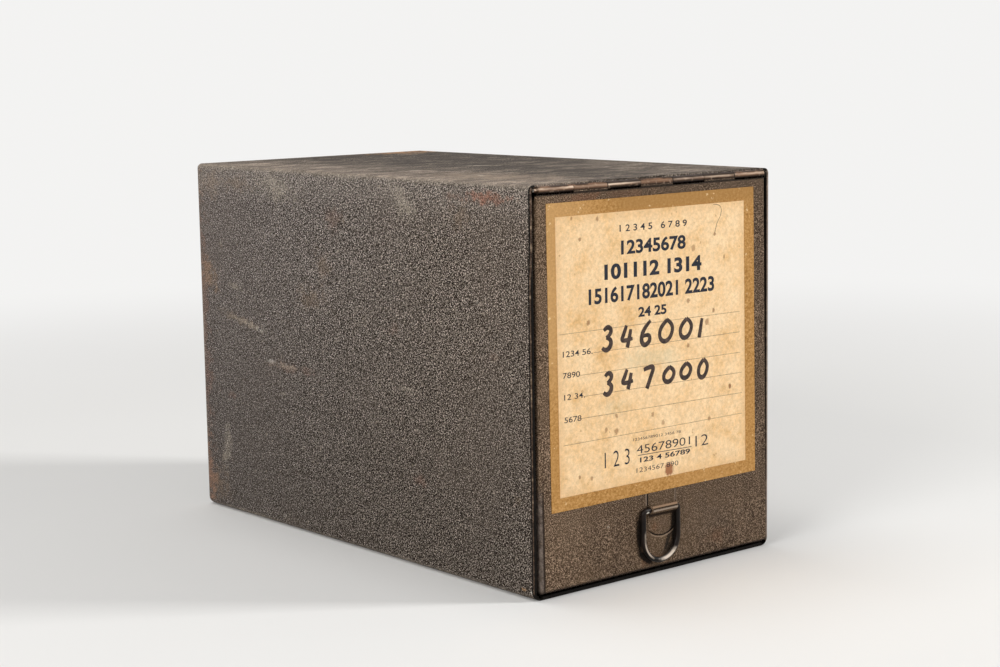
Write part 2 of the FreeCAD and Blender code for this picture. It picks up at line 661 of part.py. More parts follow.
def make_pull_ring():
    """The D-ring: one round wire, straight along the top."""
    piece = new_body("pull_ring")
    half = (D["ring_clear"] + D["ring_wire"]) / 2
    corner = D["ring_corner"]
    top = D["bar_height"]
    side_low = top - D["ring_drop"] + half
    left, right = RING_X - half, RING_X + half
    section = new_sketch(piece, "x", RING_X)
    draw_circle(section, (RING_Y, top), D["ring_wire"] / 2)
    path = new_sketch(piece, "y", RING_Y)
    draw(path, [(RING_X, top), (left + corner, top), (left, top - corner), (left, side_low),
                (RING_X, side_low - half), (right, side_low), (right, top - corner),
                (right - corner, top)],
         bends={1: corner, 3: half, 4: half, 6: corner})
    doc.recompute()
    sweep(piece, section, path)
    return piece


def make_label_border():
    """The card that shows as a plain border round the paper."""
    piece = new_body("label_border")
    pad_box(piece, (LABEL_LEFT, FRONT - D["border_thick"], D["label_low"]),
            (LABEL_RIGHT, FRONT, D["label_high"]))
    return piece


def make_label_paper():
    """The paper of the label."""
    piece = new_body("label_paper")
    front = FRONT - D["border_thick"]
    low = (LABEL_LEFT + D["margin_left"], front - D["paper_thick"], D["label_low"] + D["margin_end"])
    pad_box(piece, low, (LABEL_RIGHT - D["margin_right"], front, D["label_high"] - D["margin_end"]))
    return piece


def raise_wall(piece, half, start, end, top):
    """Raise one end wall of the carriage, with its upper corners rounded."""
    low = TRAY_LOW + D["tray_bend"]
    corner = D["tray_corner"]
    outline = [(-half, low), (half, low), (half, top - corner), (half - corner, top),
               (corner - half, top), (-half, top - corner)]
    extrude(piece, "y", start, end, lambda d: draw(d, outline, bends={2: corner, 4: corner}))


def make_carriage_tray():
    """The pull-out carriage: a low tray with a finger notch in its taller front wall and
    a rear wall that passes between the runners' lips."""
    piece = new_body("carriage_tray")
    wall = D["tray_sheet"]
    outer = D["tray_bend"]
    front_top = TRAY_LOW + D["tray_front_wall"]
    side_top = TRAY_LOW + D["tray_side"]
    rear_top = TRAY_LOW + D["tray_rear_wall"]
    pad_box(piece, (-TRAY_SIDE, TRAY_FRONT, TRAY_LOW), (TRAY_SIDE, TRAY_REAR, side_top))
    round_edges(piece, outer, lambda p, t: near(p.z, TRAY_LOW))
    cut_box(piece, (wall - TRAY_SIDE, TRAY_FRONT + wall, TRAY_FLOOR),
            (TRAY_SIDE - wall, TRAY_REAR - wall, side_top))
    round_edges(piece, outer - wall,
                lambda p, t: near(p.z, TRAY_FLOOR) and abs(p.x) < TRAY_SIDE.number - INSIDE)
    raise_wall(piece, TRAY_SIDE, TRAY_FRONT, TRAY_FRONT + wall, front_top)
    raise_wall(piece, LIP_SIDE - D["ear_gap"], TRAY_REAR - wall, TRAY_REAR, rear_top)
    notch_z = front_top + D["notch_rise"]
    cut_bore(piece, "y", TRAY_FRONT - PAST, TRAY_FRONT + wall + PAST, (0, notch_z), D["notch_round"])
    ear_low = TRAY_LOW + D["tray_bend"] + D["ear_inset"]
    ear_high = side_top - D["ear_inset"]
    for way in (-1, 1):
        low = -TRAY_SIDE - D["ear_reach"] if way < 0 else TRAY_SIDE
        high = -TRAY_SIDE if way < 0 else TRAY_SIDE + D["ear_reach"]
        pad_box(piece, (low, EAR_REAR - D["ear_length"], ear_low), (high, EAR_REAR, ear_high))
    extrude(piece, "z", TRAY_LOW - PAST, TRAY_FLOOR + PAST, draw_foot_holes, cut=True)
    return piece


def draw_foot_holes(drawing):
    """Draw the holes that the rivets and the posts' feet share in tray and base plate."""
    for centre in rivet_places():
        draw_circle(drawing, centre, D["rivet_shank"] / 2 + D["shank_play"])
    for way in (-1, 1):
        draw_circle(drawing, (way * POST_X, POST_Y), D["post_foot"] / 2 + D["shank_play"])


def rivet_places():
    """Centres of the four rivets that hold the base plate."""
    return [(way * RIVET_X, along_y) for way in (-1, 1) for along_y in RIVET_YS]


def make_arch_base():
    """The plate that carries the posts and the pivot bracket."""
    piece = new_body("arch_base")
    half = D["base_width"] / 2
    pad_box(piece, (-half, BASE_FRONT, TRAY_FLOOR), (half, BASE_REAR, BASE_TOP))
    round_edges(piece, D["base_corner"], lambda p, t: along(t, "z"))
    extrude(piece, "z", TRAY_FLOOR - PAST, BASE_TOP + PAST, draw_foot_holes, cut=True)
    return piece


def make_base_rivets():
    """Four rivets with low tapered heads, flush under the carriage's floor."""
    shank = D["rivet_shank"].number / 2
    head = D["rivet_head"].number / 2
    flat = D["rivet_top"].number / 2
    rise = D["rivet_rise"].number
    low, top = TRAY_LOW.number, BASE_TOP.number
    rivets = []
    for across, along_y in rivet_places():
        place = VECTOR(across.number, along_y.number, 0)
        stem = Part.makeCylinder(shank, top - low, place + VECTOR(0, 0, low))
        rivets.append(stem.fuse(Part.makeCone(head, flat, rise, place + VECTOR(0, 0, top))))
    piece = doc.addObject("Part::Feature", "base_rivets")
    piece.Label = "base_rivets"
    piece.Shape = Part.Compound(rivets)
    return piece


def make_post(label, way):
    """An upright post: a shouldered foot riveted through the plate, a slanted top."""
    piece = new_body(label)
    centre = (way * POST_X, POST_Y)
    tall = SCARF_Z + WIRE_ROUND + PAST
    pad_rod(piece, "z", BASE_TOP, tall, centre, WIRE_ROUND)
    pad_rod(piece, "z", TRAY_LOW, BASE_TOP, centre, D["post_foot"] / 2)
    reach = D["wire_diameter"]
    slant = SCARF_Z - D["scarf_gap"]
    above = [(POST_Y - reach, slant + reach), (POST_Y + reach, slant - reach),
             (POST_Y + reach, tall + reach), (POST_Y - reach, tall + reach)]
    middle = way * POST_X
    extrude(piece, "x", middle - reach, middle + reach, lambda d: draw(d, above), cut=True)
    return piece


def make_arch(label, way):
    """One smooth arch: a rear leg on the shaft, a half circle and a slanted front tip."""
    piece = new_body(label)
    middle = way * POST_X
    round_over = D["arch_span"] / 2
    crown = SHOULDER_Z + round_over
    foot = SHAFT_Z + D["saddle_rise"]
    tip = SCARF_Z - D["wire_diameter"]
    section = new_sketch(piece, "z", foot)
    draw_circle(section, (middle, SHAFT_Y), WIRE_ROUND)
    path = new_sketch(piece, "x", middle)
    draw(path, [(SHAFT_Y, foot), (SHAFT_Y, SHOULDER_Z), (POST_Y + round_over, crown),
                (POST_Y, SHOULDER_Z), (POST_Y, tip)],
         bends={1: round_over, 2: round_over}, closed=False)
    doc.recompute()
    sweep(piece, section, path)
    reach = D["wire_diameter"]
    slant = SCARF_Z + D["scarf_gap"]
    below = [(POST_Y - reach, tip - PAST), (POST_Y + reach, tip - PAST), (POST_Y + reach, slant - reach),
             (POST_Y - reach, slant + reach)]
    extrude(piece, "x", middle - reach, middle + reach, lambda d: draw(d, below), cut=True)
    saddle = WIRE_ROUND + D["shank_play"]
    cut_bore(piece, "x", middle - reach, middle + reach, (SHAFT_Y, SHAFT_Z), saddle)
    return piece


def make_pivot_bracket():
    """A channel whose two ears carry the pivot shaft."""
    piece = new_body("pivot_bracket")
    inner = D["ear_spacing"] / 2
    outer = inner + D["bracket_sheet"]
    half = D["bracket_length"] / 2
    top = SHAFT_Z + half
    pad_box(piece, (-outer, SHAFT_Y - half, BASE_TOP), (outer, SHAFT_Y + half, top))
    cut_box(piece, (-inner, SHAFT_Y - half, BASE_TOP + D["bracket_sheet"]),
            (inner, SHAFT_Y + half, top + PAST))
    round_edges(piece, half * BRACKET_ROUND, lambda p, t: along(t, "x") and near(p.z, top))
    bore = WIRE_ROUND + D["shaft_play"]
    cut_bore(piece, "x", -outer - PAST, outer + PAST, (SHAFT_Y, SHAFT_Z), bore)
    return piece


def make_arch_shaft():
    """The shaft that both arches and the lever are fixed to."""
    piece = new_body("arch_shaft")
    half = D["ear_spacing"] / 2 + D["bracket_sheet"] + D["shaft_overhang"]
    pad_rod(piece, "x", -half, half, (SHAFT_Y, SHAFT_Z), WIRE_ROUND)
    bevel_edges(piece, D["shaft_overhang"] * SHAFT_END_BEVEL, lambda p, t: near(abs(p.x), half))
    return piece


def make_arch_lever():
    """The thumb lever, drawn level behind its boss and then set at its angle."""
    piece = new_body("arch_lever")
    half = D["lever_width"] / 2
    thick = D["lever_sheet"]
    boss = D["lever_boss"] / 2
    arm = D["lever_arm"]
    pad_rod(piece, "x", -half, half, (0, 0), boss)
    pad_box(piece, (-half, 0, -boss), (half, arm, thick - boss))
    pad_box(piece, (-half, arm - thick, thick - boss - D["lever_pad"]), (half, arm, thick - boss))
    round_edges(piece, thick * LEVER_BEND,
                lambda p, t: along(t, "x") and near(p.y, arm) and near(p.z, thick - boss))
    low_end = thick - boss - D["lever_pad"]
    round_edges(piece, half * PAD_CORNER, lambda p, t: along(t, "y") and near(p.z, low_end))
    cut_bore(piece, "x", -half, half, (0, 0), WIRE_ROUND + D["shank_play"])
    turn = FreeCAD.Rotation(VECTOR(1, 0, 0), D["lever_angle"].number)
    piece.Placement = FreeCAD.Placement(VECTOR(0, SHAFT_Y.number, SHAFT_Z.number), turn)
    return piece


def make_press_plate():
    """The plate that holds the slips down: two rims and two holes that ride the posts."""
    piece = new_body("press_plate")
    half = D["press_width"] / 2
    front = POST_Y - D["press_length"] / 2
    rear = POST_Y + D["press_length"] / 2
    top = PRESS_Z + D["press_sheet"]
    rim = PRESS_Z + D["press_rim"]
    thick = D["press_sheet"]
    pad_box(piece, (-half, front, PRESS_Z), (half, rear, rim))
    round_edges(piece, thick, lambda p, t: along(t, "x") and near(p.z, PRESS_Z))
    cut_box(piece, (-half, front + thick, top), (half, rear - thick, rim + PAST))
    round_edges(piece, D["press_rim"] - thick, lambda p, t: along(t, "y") and near(p.z, rim))
    hole = WIRE_ROUND + D["press_play"]

    def holes(drawing):
        for way in (-1, 1):
            draw_circle(drawing, (way * POST_X, POST_Y), hole)

    extrude(piece, "z", PRESS_Z - PAST, rim + PAST, holes, cut=True)
    return piece


def set_ajar(pieces):
    """Turn the door's pieces about the hinge pin to where the door stands at rest."""
    pivot = VECTOR(0, HINGE_Y.number, HINGE_Z.number)
    turn = FreeCAD.Rotation(VECTOR(-1, 0, 0), D["ajar_angle"].number)
    for piece in pieces:
        piece.Placement = FreeCAD.Placement(pivot - turn.multVec(pivot), turn)


casing = [make_casing_wrap(), make_back_panel(), make_hinge_leaf(), make_hinge_pin()]
casing += [make_runner("left_runner", -1), make_runner("right_runner", 1)]
casing += [make_door_stop("left_door_stop", -1), make_door_stop("right_door_stop", 1)]
door = [make_door_panel(), make_pull_strap(), make_label_border(), make_label_paper()]
door.append(make_pull_ring())
carriage = [make_carriage_tray(), make_arch_base(), make_base_rivets(), make_pivot_bracket()]
carriage += [make_post("left_post", -1), make_post("right_post", 1)]
arches = [make_arch("left_arch", -1), make_arch("right_arch", 1), make_arch_shaft()]
arches.append(make_arch_lever())
press = [make_press_plate()]
set_ajar(door)
doc.recompute()

for item in doc.Objects:
    if "Invalid" in item.State or "Error" in item.State:
        raise ValueError(f"{item.Label} of {item.TypeId} failed: {item.State}")
os.makedirs("parts", exist_ok=True)
for piece in casing + door + carriage + arches + press:
    shape = piece.Shape
    if shape.isNull() or not shape.isValid():
        raise ValueError(f"{piece.Label} has no valid shape")
    shape.exportStep(os.path.join("parts", f"{piece.Label}.step"))
    print(f"{piece.Label}: {len(shape.Solids)} solid, {shape.Volume:.1f} cubic mm")
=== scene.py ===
import json
import math

import bmesh
import bpy
from mathutils import Matrix, Vector


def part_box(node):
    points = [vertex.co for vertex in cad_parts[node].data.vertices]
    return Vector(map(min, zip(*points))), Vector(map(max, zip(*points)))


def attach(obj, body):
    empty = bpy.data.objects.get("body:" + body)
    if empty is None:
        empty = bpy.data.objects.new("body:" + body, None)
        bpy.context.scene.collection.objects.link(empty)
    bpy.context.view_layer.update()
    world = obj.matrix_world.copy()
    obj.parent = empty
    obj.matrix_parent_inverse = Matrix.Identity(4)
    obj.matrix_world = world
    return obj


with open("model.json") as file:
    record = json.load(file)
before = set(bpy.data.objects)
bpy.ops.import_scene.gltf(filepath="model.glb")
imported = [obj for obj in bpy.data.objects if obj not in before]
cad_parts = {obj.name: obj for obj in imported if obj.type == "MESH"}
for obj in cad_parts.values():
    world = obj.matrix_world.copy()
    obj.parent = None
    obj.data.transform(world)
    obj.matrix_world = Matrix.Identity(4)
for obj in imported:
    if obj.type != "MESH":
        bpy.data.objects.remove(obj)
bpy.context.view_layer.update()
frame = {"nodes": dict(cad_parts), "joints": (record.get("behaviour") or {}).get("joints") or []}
JOINTS = {joint["name"]: joint for joint in frame["joints"]}
MM = 0.001


# Where the casing and the door are

CASE_LOW, CASE_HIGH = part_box("casing_wrap")
HINGE = Vector(JOINTS["door_swing"]["pos_m"])
AJAR = math.radians(JOINTS["door_swing"]["range_deg"][0])
SHUT_TO_AJAR = Matrix.Translation(HINGE) @ Matrix.Rotation(AJAR, 4, "X") @ Matrix.Translation(-HINGE)
AJAR_TO_SHUT = SHUT_TO_AJAR.inverted()


def shut_box(node):
    """A door node's lowest and highest corners as they are when the door hangs straight."""
    points = [AJAR_TO_SHUT @ corner.co for corner in frame["nodes"][node].data.vertices]
    low = Vector([min(point[axis] for point in points) for axis in range(3)])
    high = Vector([max(point[axis] for point in points) for axis in range(3)])
    return low, high


PAPER_LOW, PAPER_HIGH = shut_box("label_paper")


# Shader maths

class Tone:
    """A number, colour or direction on its way through the nodes."""

    def __init__(self, nodes, socket):
        self.nodes = nodes
        self.socket = socket

    def sum(self, operation, first, second):
        """Two numbers through one maths node."""
        return self.nodes.node("Math", {"operation": operation}, {0: first, 1: second})

    def __add__(self, other):
        return self.sum("ADD", self, other)

    def __radd__(self, other):
        return self.sum("ADD", other, self)

    def __sub__(self, other):
        return self.sum("SUBTRACT", self, other)

    def __rsub__(self, other):
        return self.sum("SUBTRACT", other, self)

    def __mul__(self, other):
        return self.sum("MULTIPLY", self, other)

    def __rmul__(self, other):
        return self.sum("MULTIPLY", other, self)

    def __abs__(self):
        return self.nodes.node("Math", {"operation": "ABSOLUTE"}, {0: self})

    def least(self, other):
        return self.sum("MINIMUM", self, other)

    def most(self, other):
        return self.sum("MAXIMUM", self, other)


class Nodes:
    """The nodes of a material or of the world."""

    def __init__(self, owner):
        owner.use_nodes = True
        self.tree = owner.node_tree
        self.tree.nodes.clear()

    def node(self, kind, settings=None, sockets=None, output=0):
        """Add a node; settings are its own, sockets are its inputs' values or tones."""
        made = self.tree.nodes.new("ShaderNode" + kind)
        for name, value in (settings or {}).items():
            if name == "stops":
                self.set_stops(made.color_ramp, value)
            else:
                setattr(made, name, value)
        for name, value in (sockets or {}).items():
            if isinstance(value, Tone):
                self.tree.links.new(value.socket, made.inputs[name])
            else:
                made.inputs[name].default_value = value
        return Tone(self, made.outputs[output] if len(made.outputs) else None)

    def set_stops(self, ramp, stops):
        """Set a ramp's colours; stops are (place, colour)."""
        ramp.elements.remove(ramp.elements[-1])
        for number, (place, colour) in enumerate(stops):
            stop = ramp.elements[0] if number == 0 else ramp.elements.new(place)
            stop.position = place
            stop.color = (*colour, 1)

    def outputs(self, made):
        """All the outputs of the node that a tone comes from, by name."""
        return {socket.name: Tone(self, socket) for socket in made.socket.node.outputs}


class Finish(Nodes):
    """One material and the nodes that paint it."""

    def __init__(self, name):
        self.material = bpy.data.materials.new(name)
        super().__init__(self.material)
        self.place = self.node("TexCoord", output="Object")
        parts = self.outputs(self.node("SeparateXYZ", None, {0: self.place}))
        self.across, self.deep, self.high = parts["X"], parts["Y"], parts["Z"]

    def stretched(self, scale):
        """Object coordinates drawn out along the axes."""
        return self.node("Mapping", None, {"Vector": self.place, "Scale": scale})

    def noise(self, size, detail=2.0, rough=0.5, bent=0.0, at=None):
        """Soft noise from 0 to 1 whose blotches are about size metres across."""
        return self.node("TexNoise", None, {"Vector": at or self.place, "Scale": 0.5 / size,
                                            "Detail": detail, "Roughness": rough, "Distortion": bent})

    def rise(self, value, low, high):
        """0 below low, 1 above high, smooth between; low may be the larger."""
        return self.node("MapRange", {"interpolation_type": "SMOOTHSTEP"},
                         {"Value": value, "From Min": low, "From Max": high})

    def length(self, vector):
        """The length of a vector."""
        return self.node("VectorMath", {"operation": "LENGTH"}, {0: vector}, "Value")

    def flat_length(self, across, high):
        """The length of an offset in the plane of the door."""
        return self.length(self.node("CombineXYZ", None, {0: across, 1: high}))

    def band(self, value, middle, half, soft):
        """1 within half of the middle, 0 beyond half and soft."""
        return self.rise(abs(value - middle), half + soft, half)

    def ramp(self, value, stops):
        """A colour ramp."""
        return self.node("ValToRGB", {"stops": stops}, {"Fac": value})

    def mix(self, share, first, second, kind="MIX"):
        """Mix two colours."""
        first, second = [value if isinstance(value, Tone) else (*value, 1) for value in (first, second)]
        return self.node("Mix", {"data_type": "RGBA", "blend_type": kind},
                         {0: share, 6: first, 7: second}, 2)

    def brighten(self, colour, amount):
        """A colour times a number that varies over the surface."""
        grey = self.node("CombineColor", None, {0: amount, 1: amount, 2: amount})
        return self.mix(1.0, colour, grey, "MULTIPLY")

    def spot(self, centre, reach, turn=(0, 0, 0), ragged=None, soft=0.7):
        """1 at a spot's centre, 0 outside its reach (millimetres), with a ragged edge."""
        within = self.node("Mapping", {"vector_type": "TEXTURE"},
                           {"Vector": self.place, "Location": Vector(centre) * MM, "Rotation": turn,
                            "Scale": Vector(reach) * MM})
        distance = self.length(within)
        if ragged is not None:
            distance = distance + ragged
        return self.rise(distance, 1.0, 1.0 - soft)

    def marked(self, colour, marks, ragged, grip, soft=1.0):
        """A colour with marks on it (centre, reach, turn, colour, strength) that catch where grip is 1."""
        for centre, reach, turn, tone, strength in marks:
            share = self.spot(centre, reach, turn, ragged, soft) * grip * strength
            colour = self.mix(share, colour, tone)
        return colour

    def edge_distance(self, low, high):
        """Distance to the nearest edge of a box, in metres."""
        gaps = []
        for value, start, end in zip((self.across, self.deep, self.high), low, high):
            middle, half = (start + end) / 2, (end - start) / 2
            gaps.append(half - abs(value - middle))
        return gaps[0].least(gaps[1]).most(gaps[0].most(gaps[1]).least(gaps[2]))

    def done(self, colour, rough, height=None, depth=0.0001, metal=0.0, **constants):
        """Join the colour, roughness and relief to the shader."""
        sockets = {"Base Color": colour, "Roughness": rough, "Metallic": metal}
        if height is not None:
            sockets["Normal"] = self.node("Bump", None, {"Height": height, "Distance": depth})
        sockets.update({name.replace("_", " "): value for name, value in constants.items()})
        shader = self.node("BsdfPrincipled", None, sockets)
        self.node("OutputMaterial", None, {"Surface": shader})
        return self.material


# Colours, as linear light

PIT = (0.005, 0.0033, 0.0023)
CHARCOAL = (0.048, 0.038, 0.030)
RIDGE = (0.785, 0.735, 0.705)
DUST = (0.34, 0.28, 0.22)
PALE = (0.60, 0.52, 0.42)
CHALK = (0.95, 0.90, 0.80)
RUST = (0.24, 0.105, 0.055)
RUST_PINK = (0.36, 0.21, 0.155)
ORANGE = (0.66, 0.38, 0.18)
TAN = (0.34, 0.24, 0.16)
# Near-black for painted shade and painted shadows
SHADE_BLACK = (0.006, 0.005, 0.004)


def crinkle(finish, size):
    """The wound ridges of crinkle enamel, from 0 in the pits to 1 on the ridges."""
    wound = finish.noise(size, 3.0, 0.7, 0.2)
    return finish.rise(wound, 0.40, 0.66)


# Stains and scrapes on the casing's left side and top: centre, reach, turn, colour, strength
CASE_MARKS = [
    ((-73, 58, 168.5), (3, 22, 8), (0.1, 0, 0), PALE, 0.7),
    ((-73, 92, 170), (3, 22, 5), (0.0, 0, 0), TAN, 0.5),
    ((-73, 118, 169), (4, 20, 9), (0, 0, 0), (0.43, 0.33, 0.255), 0.8),
    ((-73, 109.7, 139.0), (2, 0.8, 2.6), (0, 0, 0), CHALK, 0.9),
    ((-73, 110, 138.0), (2, 6, 3), (0, 0, 0), TAN, 0.4),
    ((-73, 122, 122), (2, 12, 9), (0.3, 0, 0), ORANGE, 0.45),
    ((-73, 97, 117), (2, 12, 2.2), (0.18, 0, 0), PALE, 0.6),
    ((-73, 91, 100.2), (2, 24, 3.0), (0.17, 0, 0), TAN, 0.7),
    ((-73, 88, 99.6), (2, 18, 1.9), (0.17, 0, 0), PALE, 0.85),
    ((-73, 76, 97.2), (2, 5, 1.5), (0.1, 0, 0), CHALK, 0.65),
    ((-73, 67, 82.5), (2, 5, 1.3), (0.0, 0, 0), CHALK, 0.6),
    ((-73, 52, 81.2), (2, 11, 1.5), (0, 0, 0), PALE, 0.8),
    ((-73, 50, 80.6), (2, 22, 3), (0, 0, 0), RUST_PINK, 0.45),
    ((-73, 58, 67.5), (2, 4, 1.2), (0, 0, 0), PALE, 0.6),
    ((-73, 128, 95), (3, 7, 92), (0, 0, 0), RUST_PINK, 0.65),
    ((-73, 102.8, 61), (2, 5, 3), (0, 0, 0), RUST_PINK, 0.4),
    ((-73, 32, 117), (2, 17, 7), (0, 0, 0), TAN, 0.5),
    ((-73, 20, 134), (2, 8, 9), (0, 0, 0), TAN, 0.45),
    ((-73, 10, 157), (2, 9, 7), (0, 0, 0), RUST_PINK, 0.4),
    ((-73, -12, 111), (2, 7, 9), (0, 0, 0), DUST, 0.3),
    ((-73, 110, 33), (2, 5, 14), (0.2, 0, 0), PALE, 0.6),
    ((-73, 118, 12), (2, 12, 14), (0, 0, 0), TAN, 0.6),
    ((-73, 127, 18), (3, 8, 22), (0, 0, 0), (0.46, 0.25, 0.16), 0.85),
    ((-73, 58.9, 5.7), (2, 1.8, 0.9), (0, 0, 0), CHALK, 0.7),
    ((-73, 52, 3.4), (2, 16, 2.6), (0, 0, 0), DUST, 0.4),
    ((-73, -44, 166.0), (2, 13, 7), (0.5, 0, 0), PALE, 0.8),
    ((-73, -102, 171.5), (2, 16, 3.6), (0, 0, 0), (0.50, 0.20, 0.12), 0.85),
    ((-73, -81, 171), (2, 8, 3), (0, 0, 0), RUST_PINK, 0.6),
    ((-73, -84, 163), (2, 8, 8), (0, 0, 0), TAN, 0.5),
    ((-73, -95, 126.5), (2, 0.5, 1.4), (0, 0, 0), CHALK, 0.9),
    ((-73, -34.6, 108), (2, 5, 5), (0, 0, 0), RUST_PINK, 0.35),
    ((-73, -106, 104), (2, 5, 4), (0, 0, 0), RUST_PINK, 0.3),
    ((-73, -42, 82), (2, 17, 1.2), (0.0, 0, 0), PALE, 0.65),
    ((-73, -106.1, 80), (2, 0.6, 0.6), (0, 0, 0), CHALK, 0.9),
    ((-73, -52, 40.7), (2, 5, 3), (0.3, 0, 0), RUST_PINK, 0.5),
    ((-73, -119.6, 42.8), (2, 5, 3), (0, 0, 0), TAN, 0.4),
    ((-73, -123.4, 3.9), (2, 1.8, 1.2), (0, 0, 0), ORANGE, 0.9),
    ((-73, -128.0, 4.0), (2, 0.8, 0.9), (0, 0, 0), CHALK, 0.95),
    ((-45, -75, 178), (26, 55, 2), (0, 0, 0.12), (0.36, 0.275, 0.20), 0.5),
    ((4, -5, 178), (3, 12, 2), (0, 0, 0.5), PALE, 0.5),
    ((-43, -62, 178), (1.5, 9, 2), (0, 0, -0.4), PALE, 0.5),
    ((-39, -9, 178), (3, 5, 2), (0, 0, 0.6), PALE, 0.45),
    ((58, 127, 177), (36, 24, 5), (0, 0, 0), (0.50, 0.29, 0.155), 0.7),
    ((71, 60, 177), (4, 60, 4), (0, 0, 0), DUST, 0.5),
]


# Behind the folded front edge: the middle of the painted shade line, where the fold begins
SHADE_LINE_DEEP = -0.1290
FOLD_DEEP = -0.1293


def case_enamel():
    """Charcoal crinkle enamel, rubbed smooth on top and worn along the edges."""
    finish = Finish("charcoal_crinkle_enamel")
    ridges = crinkle(finish, 0.00029)
    clouds = finish.noise(0.03, 4.0, 0.6)
    fine = finish.noise(0.004, 3.0, 0.6)
    grains = finish.noise(0.0012, 2.0, 0.6)
    colour = finish.ramp(ridges, [(0.0, PIT), (0.52, CHARCOAL), (1.0, RIDGE)])
    dusty = 0.32 * finish.rise(finish.deep, 0.0, 0.12) + 0.25 * finish.rise(clouds, 0.45, 0.7)
    colour = finish.mix(dusty, colour, (0.128, 0.110, 0.098))
    behind = finish.rise(finish.deep + 0.5 * finish.high, -0.06, 0.20)
    warmth = finish.ramp(behind, [(0.0, (1.0, 0.90, 0.79)), (1.0, (1.08, 1.03, 1.0))])
    colour = finish.mix(1.0, colour, warmth, "MULTIPLY")
    # Painted shade: darker towards the bottom, a little darker towards the back
    frontward = finish.rise(finish.deep, 0.02, -0.12)
    upward = finish.rise(finish.high, 0.0, 0.17)
    colour = finish.brighten(colour, 0.78 + 0.05 * frontward + 0.37 * upward)
    upper = finish.rise(finish.high, 0.158, 0.174)
    colour = finish.mix(upper * ridges * 0.45, colour, (0.62, 0.54, 0.47))
    # The top is rubbed, a little more along the width; painted sheen makes it lighter towards the left and
    # at the front on the right, darker towards the back
    top = finish.rise(finish.high, 0.1768, 0.1776)
    streaks = finish.noise(0.0055, 9.0, 0.82, 0.3, finish.stretched((0.5, 1, 1)))
    rubbed = finish.ramp(streaks, [(0.34, (0.038, 0.030, 0.024)), (0.5, (0.130, 0.104, 0.083)),
                                   (0.66, (0.41, 0.33, 0.26))])
    near_right = finish.rise(finish.across, 0.0, 0.05) * finish.rise(finish.deep, 0.0, -0.09)
    rubbed = finish.brighten(rubbed, 1.72 - 0.9 * finish.rise(finish.across, -0.07, 0.0) + 0.4 * near_right
                             - 0.2 * finish.rise(finish.deep, -0.10, 0.10) + 1.4 * (ridges - 0.5))
    colour = finish.mix(top * 0.9, colour, rubbed)
    ragged = (fine - 0.5) * 2.2 + (grains - 0.5) * 2.2
    colour = finish.marked(colour, CASE_MARKS, ragged, 0.12 + 0.88 * ridges.most(top))
    edge = finish.edge_distance(CASE_LOW - Vector((0, 0.005, 0)), CASE_HIGH)
    worn = finish.rise(edge + (clouds - 0.5) * 0.004, 0.0030, 0.0006)
    colour = finish.mix(worn * (0.25 + 0.6 * ridges), colour, DUST)
    chipped = worn * finish.rise(grains, 0.58, 0.68)
    colour = finish.mix(chipped * 0.6, colour, PALE)
    flecks = finish.rise(finish.noise(0.0009, 1.0), 0.72, 0.78)
    colour = finish.mix(flecks * 0.8, colour, DUST)
    # The folded front edge: a painted shade line, a brown rubbed fold, and painted shade in the gap between
    # casing and door
    aloft = finish.rise(finish.high, 0.135, 0.155)
    shade_line = finish.band(finish.deep + 0.0008 * aloft, SHADE_LINE_DEEP, 0.00035, 0.0002)
    colour = finish.mix(shade_line * 0.97, colour, PIT)
    fold = finish.rise(finish.deep, FOLD_DEEP, FOLD_DEEP - 0.0002) * finish.rise(shade_line, 0.6, 0.2)
    fold_tone = finish.ramp(grains, [(0.36, (0.030, 0.018, 0.012)), (0.56, (0.115, 0.070, 0.046)),
                                     (0.72, (0.50, 0.37, 0.25))])
    colour = finish.mix(fold * 0.9, colour, fold_tone)
    rightward = finish.rise(finish.across, 0.0, 0.01)
    inner = CASE_HIGH.x - (0.0009 * aloft).most(0.0013 * rightward)
    turned = finish.rise(finish.deep + 0.0011 * finish.rise(finish.high, 0.1755, 0.1765), -0.1285, -0.1290)
    # Painted shade in the gap between the casing's turned edge and the door
    hem_gap_shade = turned * finish.rise(abs(finish.across) - inner, 0.0, -0.0002)
    colour = finish.mix(hem_gap_shade * 0.98, colour, SHADE_BLACK)
    outermost = finish.rise(finish.across, 0.0717, 0.0719) * finish.rise(finish.deep, -0.1295, -0.1299)
    colour = finish.mix(outermost * 0.7, colour, (0.36, 0.29, 0.24))
    rough = 0.55 + 0.16 * top + 0.12 * clouds - 0.1 * worn
    height = ridges * (1 - 0.8 * top) + fine * 0.2
    return finish.done(colour, rough, height, 0.0002, Specular_IOR_Level=0.07)


# The hinge's row of knuckles: left end, and the width of one
KNUCKLES = 7
ROW_LEFT, ROW_RIGHT = [corner.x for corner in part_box("hinge_leaf")]
PITCH = (ROW_RIGHT - ROW_LEFT) / KNUCKLES


